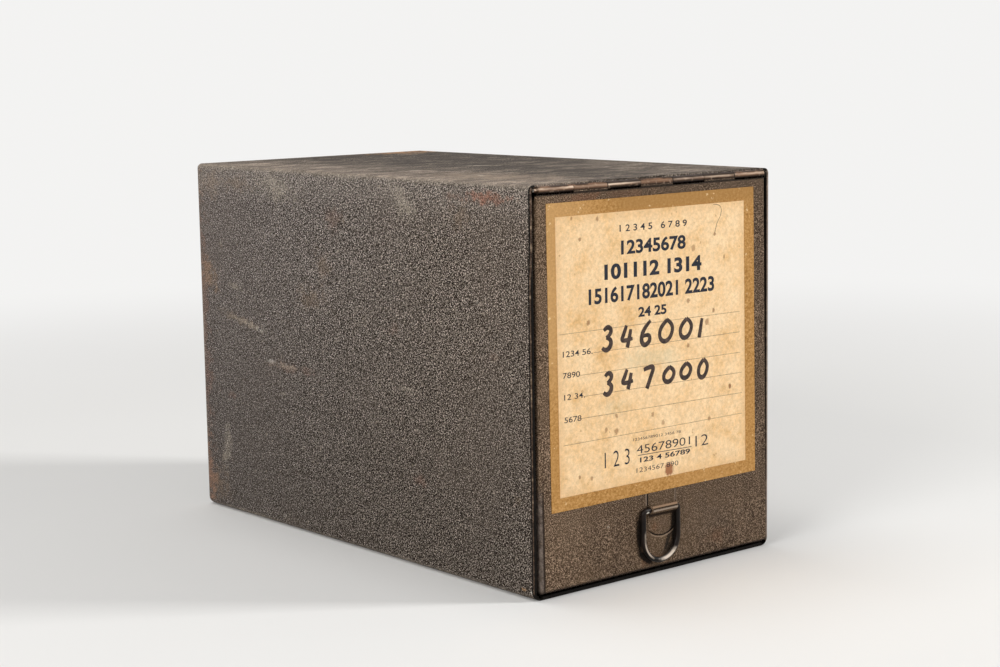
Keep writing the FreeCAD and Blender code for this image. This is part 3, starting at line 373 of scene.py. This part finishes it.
def curl_tone(finish, fine, grains, shine):
    """Steel gone brown, with a painted highlight in a broken line along the hinge, painted shade below, a
    painted dark reflection along the top and painted shade in the gaps.
    """
    height = finish.high - HINGE.z
    # The third, fifth and sixth knuckle from the left have gone darker
    blackened = finish.band(finish.across, ROW_LEFT + 2.5 * PITCH, 0.5 * PITCH, 0.0003)
    blackened = blackened.most(finish.band(finish.across, ROW_LEFT + 5 * PITCH, PITCH, 0.0003))
    mottled = finish.noise(0.0016, 4.0, 0.7, 0.0, finish.stretched((0.5, 1, 1)))
    # Painted shade: darker below the pin's axis
    tone = finish.mix(finish.rise(height, -0.0010, 0.0003), (0.018, 0.010, 0.006), (0.190, 0.102, 0.058))
    tone = finish.brighten(tone, 0.35 + 1.25 * mottled - 0.45 * blackened)
    # Painted highlight along the knuckles, stronger where the steel is worn, scaled by shine
    lit = finish.band(height + (fine - 0.5) * 0.0009, 0.0005, 0.0002, 0.0005)
    worn = finish.rise(finish.noise(0.003, 3.0, 0.65, 0.0, finish.stretched((0.3, 1, 1))), 0.38, 0.58)
    shine = (0.5 * blackened).most(shine)
    tone = finish.mix(lit * (0.15 + 0.85 * worn) * shine, tone, (0.66, 0.50, 0.37))
    scratched = finish.rise(grains, 0.60, 0.68)
    tone = finish.mix(scratched * 0.4, tone, (0.42, 0.29, 0.20))
    # Painted dark reflection along the top of each knuckle, broken up by noise
    top_dark_reflection = finish.rise(height + 0.0003 * blackened, 0.0009, 0.0012)
    top_dark_reflection = top_dark_reflection * finish.rise(fine + 0.15 * blackened, 0.38, 0.55)
    tone = finish.mix(top_dark_reflection * 0.85, tone, (0.020, 0.013, 0.010))
    # Painted shade in the gaps between knuckles
    for number in range(1, KNUCKLES):
        gap = finish.band(finish.across, ROW_LEFT + number * PITCH, 0.00015, 0.00025)
        knuckle_gap_shade = 0.3 if number % 2 else 0.9
        tone = finish.mix(gap * knuckle_gap_shade, tone, SHADE_BLACK)
    return tone


# Rust and rubbed places on the door and its strap, and the ring's painted shadows
RUST_BROWN = (0.25, 0.115, 0.06)
RUBBED = (0.22, 0.155, 0.10)
DOOR_MARKS = [
    ((-3.5, -133, 22.5), (3.4, 6, 5.5), (0, 0, 0), RUST_BROWN, 0.55),
    ((1.5, -133, 23), (5, 6, 5), (0, 0, 0), (0.16, 0.10, 0.07), 0.5),
    ((-6, -133, 7.4), (9, 6, 3.5), (0, 0, 0), RUST_BROWN, 0.45),
    ((11.4, -133, 18), (2.6, 6, 11), (0, 0, 0), RUBBED, 0.4),
    ((-56, -133, 26), (18, 8, 20), (0, 0, 0), RUBBED, 0.4),
    ((36, -133, 11), (9, 8, 5), (0, 0, 0), RUST_BROWN, 0.4),
    ((30, -133, 20), (30, 8, 12), (0, 0.1, 0), (0.14, 0.105, 0.08), 0.35),
    ((-31.5, -133, 26.4), (1.2, 6, 1.1), (0, 0, 0), PALE, 0.9),
    ((-62, -133, 50), (5, 8, 5), (0, 0, 0), RUBBED, 0.5),
    ((-45, -131, 171.5), (16, 6, 3), (0, 0, 0), RUST_BROWN, 0.6),
    ((-18, -131, 171.5), (22, 6, 3), (0, 0, 0), RUST_BROWN, 0.35),
]
# Painted shadows of the ring on the door: centre, reach, turn, colour, strength
RING_SHADOWS = [
    ((-12.6, -132, 19), (2.4, 2, 12), (0, 0, 0), SHADE_BLACK, 0.9),
    ((-8.8, -132, 8.4), (7.2, 2, 2.3), (0, 0.68, 0), SHADE_BLACK, 0.95),
    ((8.6, -132, 19), (2.2, 2, 12), (0, 0, 0), SHADE_BLACK, 0.9),
    ((5.4, -132, 15.8), (1.6, 2, 6.5), (0, 0.38, 0), SHADE_BLACK, 0.8),
    ((4.5, -132, 11), (5, 2, 2.4), (0, -0.6, 0), SHADE_BLACK, 0.7),
]
STRAP_LEFT, STRAP_RIGHT = [corner.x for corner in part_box("pull_strap")]
STRAP_MIDDLE = (STRAP_LEFT + STRAP_RIGHT) / 2
STRAP_HALF = 0.0078
TONGUE_CENTRE = 0.0296
# Near-black brown for painted shade
SHADE_BROWN = (0.020, 0.012, 0.008)
# Painted highlights and painted shade across the strap where it folds and loops: height, half width, soft
# edge, strength, colour
STRAP_LIGHT_AND_SHADE = [
    (0.0313, 0.00025, 0.0003, 0.7, (0.42, 0.27, 0.17)),
    (0.0298, 0.00018, 0.0004, 0.6, (0.50, 0.41, 0.33)),
    (0.0307, 0.00015, 0.0003, 0.8, SHADE_BROWN),
    (0.0272, 0.0006, 0.0005, 0.8, SHADE_BROWN),
]


def door_enamel():
    """Warmer crinkle enamel; bare worn steel on the curled knuckles."""
    finish = Finish("umber_crinkle_enamel")
    ridges = crinkle(finish, 0.00026)
    clouds = finish.noise(0.02, 4.0, 0.6)
    fine = finish.noise(0.003, 3.0, 0.6)
    grains = finish.noise(0.0012, 2.0, 0.6)
    colour = finish.ramp(ridges, [(0.0, (0.030, 0.0175, 0.0100)), (0.5, (0.100, 0.063, 0.038)),
                                  (1.0, (0.38, 0.268, 0.182))])
    colour = finish.mix(finish.rise(clouds, 0.42, 0.7) * 0.45, colour, (0.140, 0.090, 0.053))
    brushed_down = finish.noise(0.0025, 3.0, 0.6, 0.0, finish.stretched((1, 1, 0.12)))
    leftward = finish.rise(finish.across, -0.02, -0.066)
    colour = finish.brighten(colour, 0.78 + 0.55 * brushed_down + 0.36 * leftward)
    ragged = (fine - 0.5) * 2.0 + (grains - 0.5) * 1.2
    colour = finish.marked(colour, DOOR_MARKS, ragged, 0.35 + 0.65 * ridges)
    # The ring's painted shadows
    colour = finish.marked(colour, RING_SHADOWS, (fine - 0.5) * 0.6, 1.0, 0.5)
    # The strap's edges, between the label and its loop: painted shade along the left edge, painted
    # highlights beside it and on the right edge
    above_loop = finish.band(finish.high, 0.0362, 0.0040, 0.0004)
    left_shade = finish.band(finish.across, STRAP_LEFT - 0.0001, 0.0003, 0.0002)
    left_highlight = finish.band(finish.across, STRAP_LEFT - 0.0009, 0.0002, 0.0003)
    right_highlight = finish.band(finish.across, STRAP_RIGHT + 0.0001, 0.0004, 0.0003)
    colour = finish.mix(left_shade * above_loop * 0.95, colour, SHADE_BLACK)
    colour = finish.mix(left_highlight.most(right_highlight) * above_loop * 0.6, colour, (0.30, 0.225, 0.17))
    # The strap's fold: two painted highlights with painted shade between, and a painted shadow under the
    # loop
    on_strap = finish.band(finish.across, STRAP_MIDDLE, STRAP_HALF, 0.0006)
    for height, half, soft, strength, tone in STRAP_LIGHT_AND_SHADE:
        across_strap = finish.band(finish.high, height, half, soft) * on_strap
        colour = finish.mix(across_strap * strength, colour, tone)
    # The line round the tongue's end: painted shade with a painted highlight on its lip
    radius = finish.flat_length(finish.across - STRAP_MIDDLE, finish.high - TONGUE_CENTRE)
    below = finish.rise(finish.high, 0.0218, 0.0210)
    below = below * finish.band(finish.across, STRAP_MIDDLE, 0.0066, 0.0010)
    line = finish.band(radius, 0.0122, 0.0002, 0.0003)
    lip_highlight = finish.band(radius, 0.0129, 0.0001, 0.0004)
    colour = finish.mix(line * below * 0.85, colour, SHADE_BLACK)
    colour = finish.mix(lip_highlight * below * 0.5, colour, (0.42, 0.30, 0.21))
    # The left side of the pan, rubbed at its foot, with painted shade along its bend
    low_side = finish.rise(finish.across, -0.0690, -0.0694) * finish.rise(finish.high, 0.052, 0.040)
    side_tone = finish.ramp(grains, [(0.35, (0.07, 0.056, 0.048)), (0.65, (0.24, 0.195, 0.17))])
    colour = finish.mix(low_side * 0.75, colour, side_tone)
    crease = finish.band(finish.across, -0.0690, 0.0003, 0.0004) * finish.rise(finish.high, 0.060, 0.040)
    colour = finish.mix(crease * 0.9, colour, SHADE_BROWN)
    # Painted shade along the door's foot
    foot_shade = finish.rise(finish.high, 0.0046, 0.0036)
    colour = finish.mix(foot_shade * 0.8, colour, (0.02, 0.013, 0.009))
    low = HINGE.z
    curl = finish.rise(finish.high, low - 0.0013, low - 0.0009)
    # Painted shade under the knuckles
    knuckle_shadow = finish.band(finish.high, low - 0.0019, 0.0003, 0.0004)
    colour = finish.mix(knuckle_shadow * 0.85, colour, SHADE_BLACK)
    colour = finish.mix(curl * 0.95, colour, curl_tone(finish, fine, grains, 0.2))
    rough = 0.55 + 0.12 * clouds - 0.08 * curl
    return finish.done(colour, rough, ridges * (1 - 0.85 * curl) + fine * 0.2, 0.00014, 0.08 * curl,
                       Specular_IOR_Level=0.08)


def hinge_steel():
    """The hinge's leaf and pin: browned steel, the pin's end rubbed bright."""
    finish = Finish("browned_steel")
    fine = finish.noise(0.003, 3.0, 0.6)
    grains = finish.noise(0.0012, 2.0, 0.6)
    # The painted highlight is weaker towards the right
    tone = curl_tone(finish, fine, grains, 1.0 - 0.45 * finish.rise(finish.across, -0.06, 0.05))
    end = finish.spot((CASE_LOW[0] / MM + 2.9, HINGE.y / MM, HINGE.z / MM), (0.9, 0.8, 0.8), soft=0.5)
    tone = finish.mix(end * 0.9, tone, CHALK)
    rough = 0.45 + 0.2 * fine
    return finish.done(tone, rough, fine, 0.00005, 0.08 - 0.05 * end, Specular_IOR_Level=0.16)


def old_steel(name, dark, light, rust, rough_low, size=0.003):
    """Bare steel with tarnish, fine rub marks and some rust."""
    finish = Finish(name)
    clouds = finish.noise(size * 4, 3.0, 0.6)
    fine = finish.noise(size, 4.0, 0.65)
    tone = finish.ramp(fine, [(0.3, dark), (0.7, light)])
    rusted = finish.rise(clouds + (fine - 0.5) * 0.4, 0.56, 0.72)
    tone = finish.mix(rusted * rust, tone, RUST)
    rough = rough_low + 0.25 * clouds + 0.2 * rusted
    return finish.done(tone, rough, fine, 0.00004, 0.85 - 0.5 * rust * rusted)


# The ring's bow: across and height of its middle, and its wire's middle line
RING_LOW, RING_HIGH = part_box("pull_ring")
BOW_HALF = (RING_HIGH.x - RING_LOW.x) / 2
BOW_MIDDLE = (RING_HIGH.x + RING_LOW.x) / 2
BOW_CENTRE = RING_LOW.z + BOW_HALF
BOW_RADIUS = BOW_HALF - 0.0013


def ring_steel():
    """Wire blackened with age, still glossy, with painted highlights along the bow and a painted glint at
    its top left bend.
    """
    finish = Finish("blackened_wire")
    clouds = finish.noise(0.006, 3.0, 0.6)
    fine = finish.noise(0.0015, 3.0, 0.6)
    ragged = (fine - 0.5) * 0.8
    tone = finish.ramp(clouds, [(0.35, (0.004, 0.003, 0.0025)), (0.75, (0.018, 0.011, 0.008))])
    # Distance from the line that the bow is bent round, for the thin painted highlights along it
    radius = finish.flat_length(finish.across - BOW_MIDDLE, (finish.high - BOW_CENTRE).least(0.0))
    lower_highlight = finish.spot((4.5, -136, 7.5), (8, 6, 5), (0, 0, 0), ragged)
    lower_highlight = lower_highlight * finish.band(radius, BOW_RADIUS - 0.0003, 0.0004, 0.0005)
    tone = finish.mix(lower_highlight * 0.9, tone, (0.80, 0.68, 0.56))
    limb_highlight = finish.spot((-9.5, -136, 13), (5, 6, 10), (0, 0, 0), ragged)
    limb_highlight = limb_highlight * finish.band(radius, BOW_RADIUS + 0.0001, 0.0002, 0.0004)
    tone = finish.mix(limb_highlight * 0.8, tone, (0.62, 0.51, 0.41))
    # A painted glint where the wire bends at the top left
    bent = finish.spot((-9.6, -136, 29), (1.3, 4, 1.3), (0, 0, 0), ragged)
    tone = finish.mix(bent * 0.9, tone, CHALK)
    return finish.done(tone, 0.32 + 0.2 * clouds, fine, 0.00003, Specular_IOR_Level=0.14)


def carriage_enamel():
    """Black enamel, satin, with rubbed places and fine dust."""
    finish = Finish("black_satin_enamel")
    clouds = finish.noise(0.02, 4.0, 0.6)
    fine = finish.noise(0.0016, 3.0, 0.6)
    colour = finish.ramp(clouds, [(0.35, (0.018, 0.017, 0.017)), (0.7, (0.045, 0.04, 0.036))])
    dust = finish.rise(fine + (clouds - 0.5) * 0.6, 0.52, 0.75)
    colour = finish.mix(dust * 0.3, colour, (0.16, 0.14, 0.115))
    return finish.done(colour, 0.34 + 0.25 * dust, fine, 0.00005)


def kraft_card():
    """Tan card with long fibres, scuffs and pale chips along its edges."""
    finish = Finish("tan_card")
    fibres = finish.noise(0.0005, 4.0, 0.7, 0.2, finish.stretched((0.8, 1, 1)))
    clouds = finish.noise(0.012, 3.0, 0.6)
    colour = finish.ramp(fibres, [(0.3, (0.27, 0.125, 0.030)), (0.5, (0.44, 0.225, 0.064)),
                                  (0.72, (0.64, 0.38, 0.15))])
    colour = finish.mix(finish.rise(clouds, 0.4, 0.7) * 0.4, colour, (0.50, 0.27, 0.09))
    upper = finish.rise(finish.high, 0.158, 0.168) * finish.rise(finish.across, -0.042, -0.015)
    colour = finish.mix(upper * 0.6, colour, (0.33, 0.175, 0.055))
    leftmost = finish.rise(finish.across + (clouds - 0.5) * 0.02, -0.030, -0.062)
    corner = leftmost * finish.rise(finish.high, 0.07, 0.12)
    colour = finish.mix(corner * 0.45, colour, (0.62, 0.38, 0.165))
    chips = finish.rise(finish.noise(0.0014, 2.0, 0.6), 0.67, 0.73)
    colour = finish.mix(chips * 0.6, colour, (0.85, 0.66, 0.38))
    return finish.done(colour, 0.75 + 0.1 * clouds, fibres, 0.00004, Specular_IOR_Level=0.12)


# Specks of foxing on the paper: across, up, reach, strength
SPECKS = [
    (-45.8, 153.8, 1.0, 0.7), (-35.6, 161.9, 1.1, 0.6), (-50.4, 162.9, 0.9, 0.6), (-41.8, 117.6, 1.2, 0.7),
    (42.3, 139.4, 0.8, 0.7), (35.2, 115.5, 1.0, 0.7), (31.0, 110.7, 1.6, 0.6), (18.7, 101.4, 1.1, 0.7),
    (19.0, 121.4, 1.2, 0.6), (22.7, 144.7, 1.6, 0.5), (45.5, 79.5, 1.1, 0.85), (-25.9, 75.2, 1.0, 0.6),
    (-3.9, 72.8, 1.1, 0.6), (2.3, 68.2, 1.2, 0.5), (-26.1, 68.2, 1.5, 0.6), (31.8, 66.2, 1.1, 0.6),
    (-48.2, 51.2, 0.8, 0.7), (-41.2, 49.5, 0.9, 0.6), (36.4, 150.2, 1.0, 0.7), (-32.3, 69.6, 1.1, 0.6),
]


GREENISH = (0.50, 0.52, 0.36)
FADED = [
    ((-4, -133, 98), (22, 8, 6), (0, 0, 0), GREENISH, 0.25),
    ((-26, -133, 79), (14, 8, 5), (0, 0, 0), GREENISH, 0.18),
]


def cream_paper():
    """Old cream paper with foxing."""
    finish = Finish("cream_paper")
    fibres = finish.noise(0.0009, 4.0, 0.8)
    clouds = finish.noise(0.008, 6.0, 0.75)
    colour = finish.ramp(clouds, [(0.3, (0.88, 0.655, 0.40)), (0.48, (0.82, 0.575, 0.325)),
                                  (0.58, (0.79, 0.53, 0.275)), (0.70, (0.66, 0.395, 0.165))])
    colour = finish.brighten(colour, 0.53 + 1.01 * fibres)
    margin = finish.edge_distance(PAPER_LOW, PAPER_HIGH) + (clouds - 0.5) * 0.010
    colour = finish.mix(finish.rise(margin, 0.005, 0.0) * 0.35, colour, (0.66, 0.40, 0.18))
    colour = finish.marked(colour, FADED, (clouds - 0.5) * 2, 1.0, 0.7)
    foxing = finish.rise(finish.noise(0.0014, 2.0, 0.6), 0.69, 0.77)
    colour = finish.mix(foxing * 0.6, colour, (0.40, 0.20, 0.08))
    ragged = (fibres - 0.5) * 1.4
    for across, up, reach, strength in SPECKS:
        speck = finish.spot((across, -132, up), (reach, 6, reach * 1.3), (0, 0, 0), ragged, 0.5)
        colour = finish.mix(speck * strength, colour, (0.24, 0.105, 0.04))
    rust = finish.spot((5.9, -132, 46.6), (3.4, 6, 3.8), (0, 0, 0), ragged, 0.5)
    colour = finish.mix(rust * 0.9, colour, (0.30, 0.11, 0.045))
    return finish.done(colour, 0.7 + 0.1 * fibres, fibres, 0.00003, Specular_IOR_Level=0.1)


def ink(name, thin, full, size):
    """Ink that lies thinner in places."""
    finish = Finish(name)
    body = finish.noise(size, 3.0, 0.6)
    colour = finish.ramp(body, [(0.35, full), (0.75, thin)])
    return finish.done(colour, 0.6 + 0.2 * body, body, 0.00001, Specular_IOR_Level=0.2)


FINISHES = {
    "case_enamel": case_enamel(),
    "door_enamel": door_enamel(),
    "bare_steel": hinge_steel(),
    "runner_steel": old_steel("rolled_steel", (0.22, 0.20, 0.18), (0.48, 0.45, 0.41), 0.5, 0.34),
    "ring_steel": ring_steel(),
    "plated_steel": old_steel("dull_nickel", (0.36, 0.34, 0.30), (0.66, 0.63, 0.57), 0.25, 0.26),
    "carriage_enamel": carriage_enamel(),
    "kraft_card": kraft_card(),
    "cream_paper": cream_paper(),
}
BLUE_BLACK_INK = ink("blue_black_printing", (0.030, 0.032, 0.045), (0.010, 0.012, 0.020), 0.001)
BROWN_INK = ink("brown_brush_ink", (0.105, 0.068, 0.054), (0.022, 0.014, 0.012), 0.0014)
FADED_INK = ink("faded_rule_printing", (0.52, 0.35, 0.19), (0.20, 0.13, 0.08), 0.0012)

NODE_SLOTS = {
    "case_enamel": ["casing_wrap", "back_panel", "left_door_stop", "right_door_stop"],
    "door_enamel": ["door_panel", "pull_strap"],
    "bare_steel": ["hinge_leaf", "hinge_pin", "base_rivets"],
    "runner_steel": ["left_runner", "right_runner"],
    "ring_steel": ["pull_ring"],
    "plated_steel": ["arch_base", "pivot_bracket", "left_post", "right_post", "left_arch", "right_arch",
                     "arch_shaft", "arch_lever", "press_plate"],
    "carriage_enamel": ["carriage_tray"],
    "kraft_card": ["label_border"],
    "cream_paper": ["label_paper"],
}
for slot, nodes in NODE_SLOTS.items():
    for node in nodes:
        painted = frame["nodes"][node].data
        painted.materials.clear()
        painted.materials.append(FINISHES[slot])


# What is on the label: plain numbers and ruled lines

PAPER_FACE = PAPER_LOW.y
PRINT_THICK = 0.02 * MM
PRINT_TILT = math.radians(0.5)


def add_piece(name, mesh, finish, body):
    """Make a mesh one piece of the object."""
    mesh.materials.clear()
    mesh.materials.append(finish)
    piece = bpy.data.objects.new(name, mesh)
    bpy.context.scene.collection.objects.link(piece)
    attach(piece, body)
    return piece


def mesh_of(curve, name):
    """A curve or text as a mesh."""
    draft = bpy.data.objects.new(name, curve)
    bpy.context.scene.collection.objects.link(draft)
    bpy.context.view_layer.update()
    mesh = bpy.data.meshes.new_from_object(draft)
    bpy.data.objects.remove(draft)
    return mesh


def join(name, parts):
    """One mesh from several, with its doubles merged."""
    whole = bmesh.new()
    for part in parts:
        whole.from_mesh(part)
    bmesh.ops.remove_doubles(whole, verts=whole.verts, dist=1e-7)
    bmesh.ops.recalc_face_normals(whole, faces=whole.faces)
    mesh = bpy.data.meshes.new(name)
    whole.to_mesh(mesh)
    whole.free()
    return mesh


def on_paper(middle, high, tilt=PRINT_TILT):
    """Where something drawn flat goes on the paper, sizes in millimetres."""
    place = Matrix.Translation((middle * MM, PAPER_FACE, high * MM))
    return SHUT_TO_AJAR @ place @ Matrix.Rotation(tilt, 4, "Y")


def printed(digits, middle, base, height, width, bold):
    """A row of printed numbers on the paper, base line and sizes in millimetres."""
    text = bpy.data.curves.new("row", "FONT")
    text.body = digits
    text.size = 1.0
    text.offset = bold
    text.extrude = 0.5
    text.align_x = "CENTER"
    mesh = mesh_of(text, "row")
    wide = max(v.co.x for v in mesh.vertices) - min(v.co.x for v in mesh.vertices)
    tall = max(v.co.y for v in mesh.vertices)
    squeeze = Matrix.Diagonal((width / wide * MM, height / tall * MM, PRINT_THICK, 1))
    mesh.transform(on_paper(middle, base) @ Matrix.Rotation(math.pi / 2, 4, "X") @ squeeze)
    return mesh


# Digits: text, middle, base line, height, width, boldness
PRINTED_ROWS = [
    ("1 2 3 4 5   6 7 8 9", -2.4, 155.2, 2.9, 41.2, 0.014),
    ("12345678", -2.9, 145.4, 6.0, 39.6, 0.030),
    ("101112 1314", -3.1, 135.2, 6.4, 59.6, 0.040),
    ("151617182021 2223", -3.4, 125.1, 6.6, 77.0, 0.030),
    ("24 25", -3.2, 117.2, 4.2, 17.3, 0.034),
    ("1234 56.", -48.5, 104.1, 2.5, 17.2, 0.005),
    ("7890", -52.0, 95.0, 2.4, 9.8, 0.005),
    ("12 34.", -50.8, 85.6, 2.4, 12.0, 0.005),
    ("5678", -51.6, 75.8, 2.4, 9.8, 0.005),
    ("123456789012 3456 78", -1.6, 62.3, 1.2, 29.6, 0.0),
    ("1 2 3", -26.5, 52.7, 7.0, 15.0, -0.008),
    ("45678901", 3.4, 56.2, 3.7, 33.4, -0.004),
    ("12", 25.9, 54.4, 5.0, 8.2, -0.010),
    ("123 4 56789", 3.0, 52.2, 2.2, 31.4, 0.022),
    ("1234567 890", -1.8, 47.8, 2.1, 26.0, -0.004),
]


def rule(left, right, thick=0.22):
    """One printed line on the paper, from (across, up) to (across, up)."""
    line = bmesh.new()
    bmesh.ops.create_cube(line, size=1.0)
    run, climb = right[0] - left[0], right[1] - left[1]
    size = Matrix.Diagonal((math.hypot(run, climb) * MM, PRINT_THICK, thick * MM, 1))
    place = on_paper((left[0] + right[0]) / 2, (left[1] + right[1]) / 2, -math.atan2(climb, run))
    bmesh.ops.transform(line, matrix=place @ size, verts=line.verts)
    mesh = bpy.data.meshes.new("rule")
    line.to_mesh(mesh)
    line.free()
    return mesh


RULES = [((-58.4, 114.1), (52.4, 113.4)), ((-38.8, 104.3), (52.3, 103.9)), ((-47.0, 95.4), (52.2, 94.4)),
         ((-44.8, 86.0), (53.5, 85.0)), ((-46.6, 76.6), (53.5, 75.5)), ((-57.2, 66.1), (53.4, 65.9))]
rows = [printed(*row) for row in PRINTED_ROWS] + [rule((-13.4, 55.6), (20.2, 54.9), 0.3)]
add_piece("printed_numbers", join("printed_numbers", rows), BLUE_BLACK_INK, "door")
lines = [rule(*line) for line in RULES]
add_piece("ruled_lines", join("ruled_lines", lines), FADED_INK, "door")


# Brush strokes of each digit in a square cell: across, up, weight
STROKES = {
    "0": [[(0.52, 1.0, 1.0), (0.04, 0.74, 1.1), (0.0, 0.22, 1.0), (0.46, -0.02, 1.15), (0.92, 0.22, 1.0),
           (1.02, 0.78, 1.1), (0.48, 1.02, 0.9)]],
    "1": [[(0.9, 1.0, 0.9), (0.6, 0.5, 1.1), (0.3, 0.0, 1.15)]],
    "3": [[(0.05, 0.86, 0.85), (0.36, 1.04, 1.1), (0.90, 0.88, 1.15), (0.74, 0.62, 1.0), (0.36, 0.54, 0.8)],
          [(0.36, 0.54, 0.8), (0.90, 0.48, 1.1), (0.96, 0.14, 1.2), (0.40, -0.06, 1.1), (0.0, 0.12, 0.85)]],
    "4": [[(0.38, 1.0, 0.9), (0.22, 0.64, 1.1), (0.0, 0.34, 1.0), (0.5, 0.32, 1.0), (1.02, 0.38, 0.8)],
          [(0.80, 0.80, 0.9), (0.72, 0.40, 1.15), (0.60, 0.0, 1.1)]],
    "6": [[(0.82, 1.0, 0.8), (0.28, 0.76, 1.1), (0.0, 0.26, 1.2), (0.38, -0.04, 1.1), (0.92, 0.16, 1.1),
           (0.74, 0.48, 1.0), (0.14, 0.38, 0.8)]],
    "7": [[(0.0, 0.90, 0.9), (0.44, 0.98, 1.1), (1.0, 0.99, 1.1), (0.72, 0.5, 1.1), (0.44, 0.0, 1.15)]],
}
BRUSH_HALF = 1.05
CREASE_HALF = 0.2
BRUSH_FLAT = 0.02
SLANT = 0.12

# Brush-written digits: digit, middle, base, height, width between stroke middles
WRITTEN = [
    ("3", -30.7, 104.6, 10.0, 5.4), ("4", -19.0, 104.4, 9.8, 6.8), ("6", -7.2, 104.2, 10.6, 6.6),
    ("0", 5.0, 104.3, 9.8, 8.2), ("0", 17.4, 104.6, 8.8, 7.2), ("1", 26.6, 104.1, 8.6, 1.6),
    ("3", -30.6, 85.1, 9.4, 4.8), ("4", -19.0, 86.0, 8.8, 6.6), ("7", -6.4, 84.8, 9.6, 6.4),
    ("0", 6.4, 86.0, 6.8, 6.6), ("0", 17.1, 86.5, 6.8, 6.4), ("0", 28.0, 85.4, 8.4, 5.8),
]
CREASE = [(35.7, 163.5), (40.6, 163.4), (40.9, 158.6), (37.4, 154.6), (36.4, 150.2)]


def brushed(strokes, half):
    """Strokes drawn flat on the paper; each is a row of (across, up, weight)."""
    curve = bpy.data.curves.new("brush", "CURVE")
    curve.dimensions = "3D"
    curve.bevel_depth = half * MM
    curve.bevel_resolution = 3
    curve.use_fill_caps = True
    for stroke in strokes:
        line = curve.splines.new("NURBS")
        line.points.add(len(stroke) - 1)
        for point, (across, up, weight) in zip(line.points, stroke):
            point.co = (across * MM, 0, up * MM, 1)
            point.radius = weight
        line.order_u = 3
        line.use_endpoint_u = True
        line.resolution_u = 8
    mesh = mesh_of(curve, "brush")
    mesh.transform(on_paper(0, 0, 0) @ Matrix.Diagonal((1, BRUSH_FLAT, 1, 1)))
    return mesh


def written_strokes():
    """All the brush strokes of the written digits."""
    strokes = []
    for digit, middle, base, height, width in WRITTEN:
        for stroke in STROKES[digit]:
            strokes.append([(middle + (across - 0.5) * width + SLANT * (up - 0.5) * height,
                             base + up * height, weight) for across, up, weight in stroke])
    return strokes


written = join("written_numbers", [brushed(written_strokes(), BRUSH_HALF)])
add_piece("written_numbers", written, BROWN_INK, "door")
folded = [(across, up, 1.0) for across, up in CREASE]
crease = join("paper_crease", [brushed([folded], CREASE_HALF)])
add_piece("paper_crease", crease, FADED_INK, "door")


# Floor, lamps and camera

BACKDROP = (0.90, 0.895, 0.885)
BOX_MIDDLE = Vector((0, 0, 0.09))


def camera_rays(nodes):
    """1 for camera, glossy and transmission rays."""
    rays = nodes.outputs(nodes.node("LightPath"))
    return rays["Is Camera Ray"].most(rays["Is Glossy Ray"]).most(rays["Is Transmission Ray"])


def floor_finish():
    """A pale floor that keeps the box's shadow and melts into the backdrop farther out."""
    finish = Finish("pale_floor")
    clouds = finish.noise(0.4, 3.0)
    colour = finish.ramp(clouds, [(0.3, (0.80, 0.79, 0.77)), (0.7, (0.84, 0.83, 0.81))])
    near = finish.node("BsdfPrincipled", None, {"Base Color": colour, "Roughness": 0.8,
                                                "Specular IOR Level": 0.1})
    far = finish.node("Emission", None, {"Color": (*BACKDROP, 1), "Strength": 1.0})
    share = finish.rise(finish.length(finish.place), 0.35, 1.1) * camera_rays(finish)
    both = finish.node("MixShader", None, {0: share, 1: near, 2: far})
    finish.node("OutputMaterial", None, {"Surface": both})
    return finish.material


ground = bmesh.new()
bmesh.ops.create_circle(ground, cap_ends=True, cap_tris=False, segments=64, radius=8.0)
floor_mesh = bpy.data.meshes.new("floor")
ground.to_mesh(floor_mesh)
ground.free()
floor_mesh.materials.append(floor_finish())
floor = bpy.data.objects.new("floor", floor_mesh)
bpy.context.scene.collection.objects.link(floor)


def lamp(name, place, size, power):
    """A square soft lamp aimed at the middle of the box."""
    data = bpy.data.lights.new(name, "AREA")
    data.shape = "SQUARE"
    data.size = size
    data.energy = power
    made = bpy.data.objects.new(name, data)
    place = Vector(place)
    made.location = place
    made.rotation_euler = (BOX_MIDDLE - place).to_track_quat("-Z", "Y").to_euler()
    bpy.context.scene.collection.objects.link(made)


lamp("key", (1.55, -1.45, 1.05), 0.4, 34)
lamp("fill", (-1.9, -0.5, 0.9), 1.0, 23)
lamp("top", (-0.2, 0.5, 1.8), 1.0, 12)

# The world is the pale backdrop to the eye and a dimmer white to everything else
world = bpy.data.worlds.new("studio")
bpy.context.scene.world = world
sky = Nodes(world)
plain = sky.node("Background", None, {"Color": (1, 1, 1, 1), "Strength": 0.28})
shown = sky.node("Background", None, {"Color": (*BACKDROP, 1), "Strength": 1.0})
either = sky.node("MixShader", None, {0: camera_rays(sky), 1: plain, 2: shown})
sky.node("OutputWorld", None, {"Surface": either})
bpy.context.scene.view_settings.view_transform = "Standard"

# Camera, worked out from the casing's corners in the picture
AZIMUTH = math.radians(-39.994)
ELEVATION = math.radians(8.2395)
ROLL = math.radians(-0.8969)
CAMERA_PLACE = (-0.6207, -0.76275, 0.2375)
LENS = 72.60
SENSOR = 36.0

back = Vector((math.sin(AZIMUTH) * math.cos(ELEVATION), -math.cos(AZIMUTH) * math.cos(ELEVATION),
               math.sin(ELEVATION)))
level = Vector((math.cos(AZIMUTH), math.sin(AZIMUTH), 0))
upright = back.cross(level)
right = level * math.cos(ROLL) + upright * math.sin(ROLL)
up = upright * math.cos(ROLL) - level * math.sin(ROLL)
view = bpy.data.cameras.new("camera")
view.lens = LENS
view.sensor_width = SENSOR
camera = bpy.data.objects.new("camera", view)
camera.matrix_world = Matrix.Translation(CAMERA_PLACE) @ Matrix((right, up, back)).transposed().to_4x4()
bpy.context.scene.collection.objects.link(camera)
bpy.context.scene.camera = camera
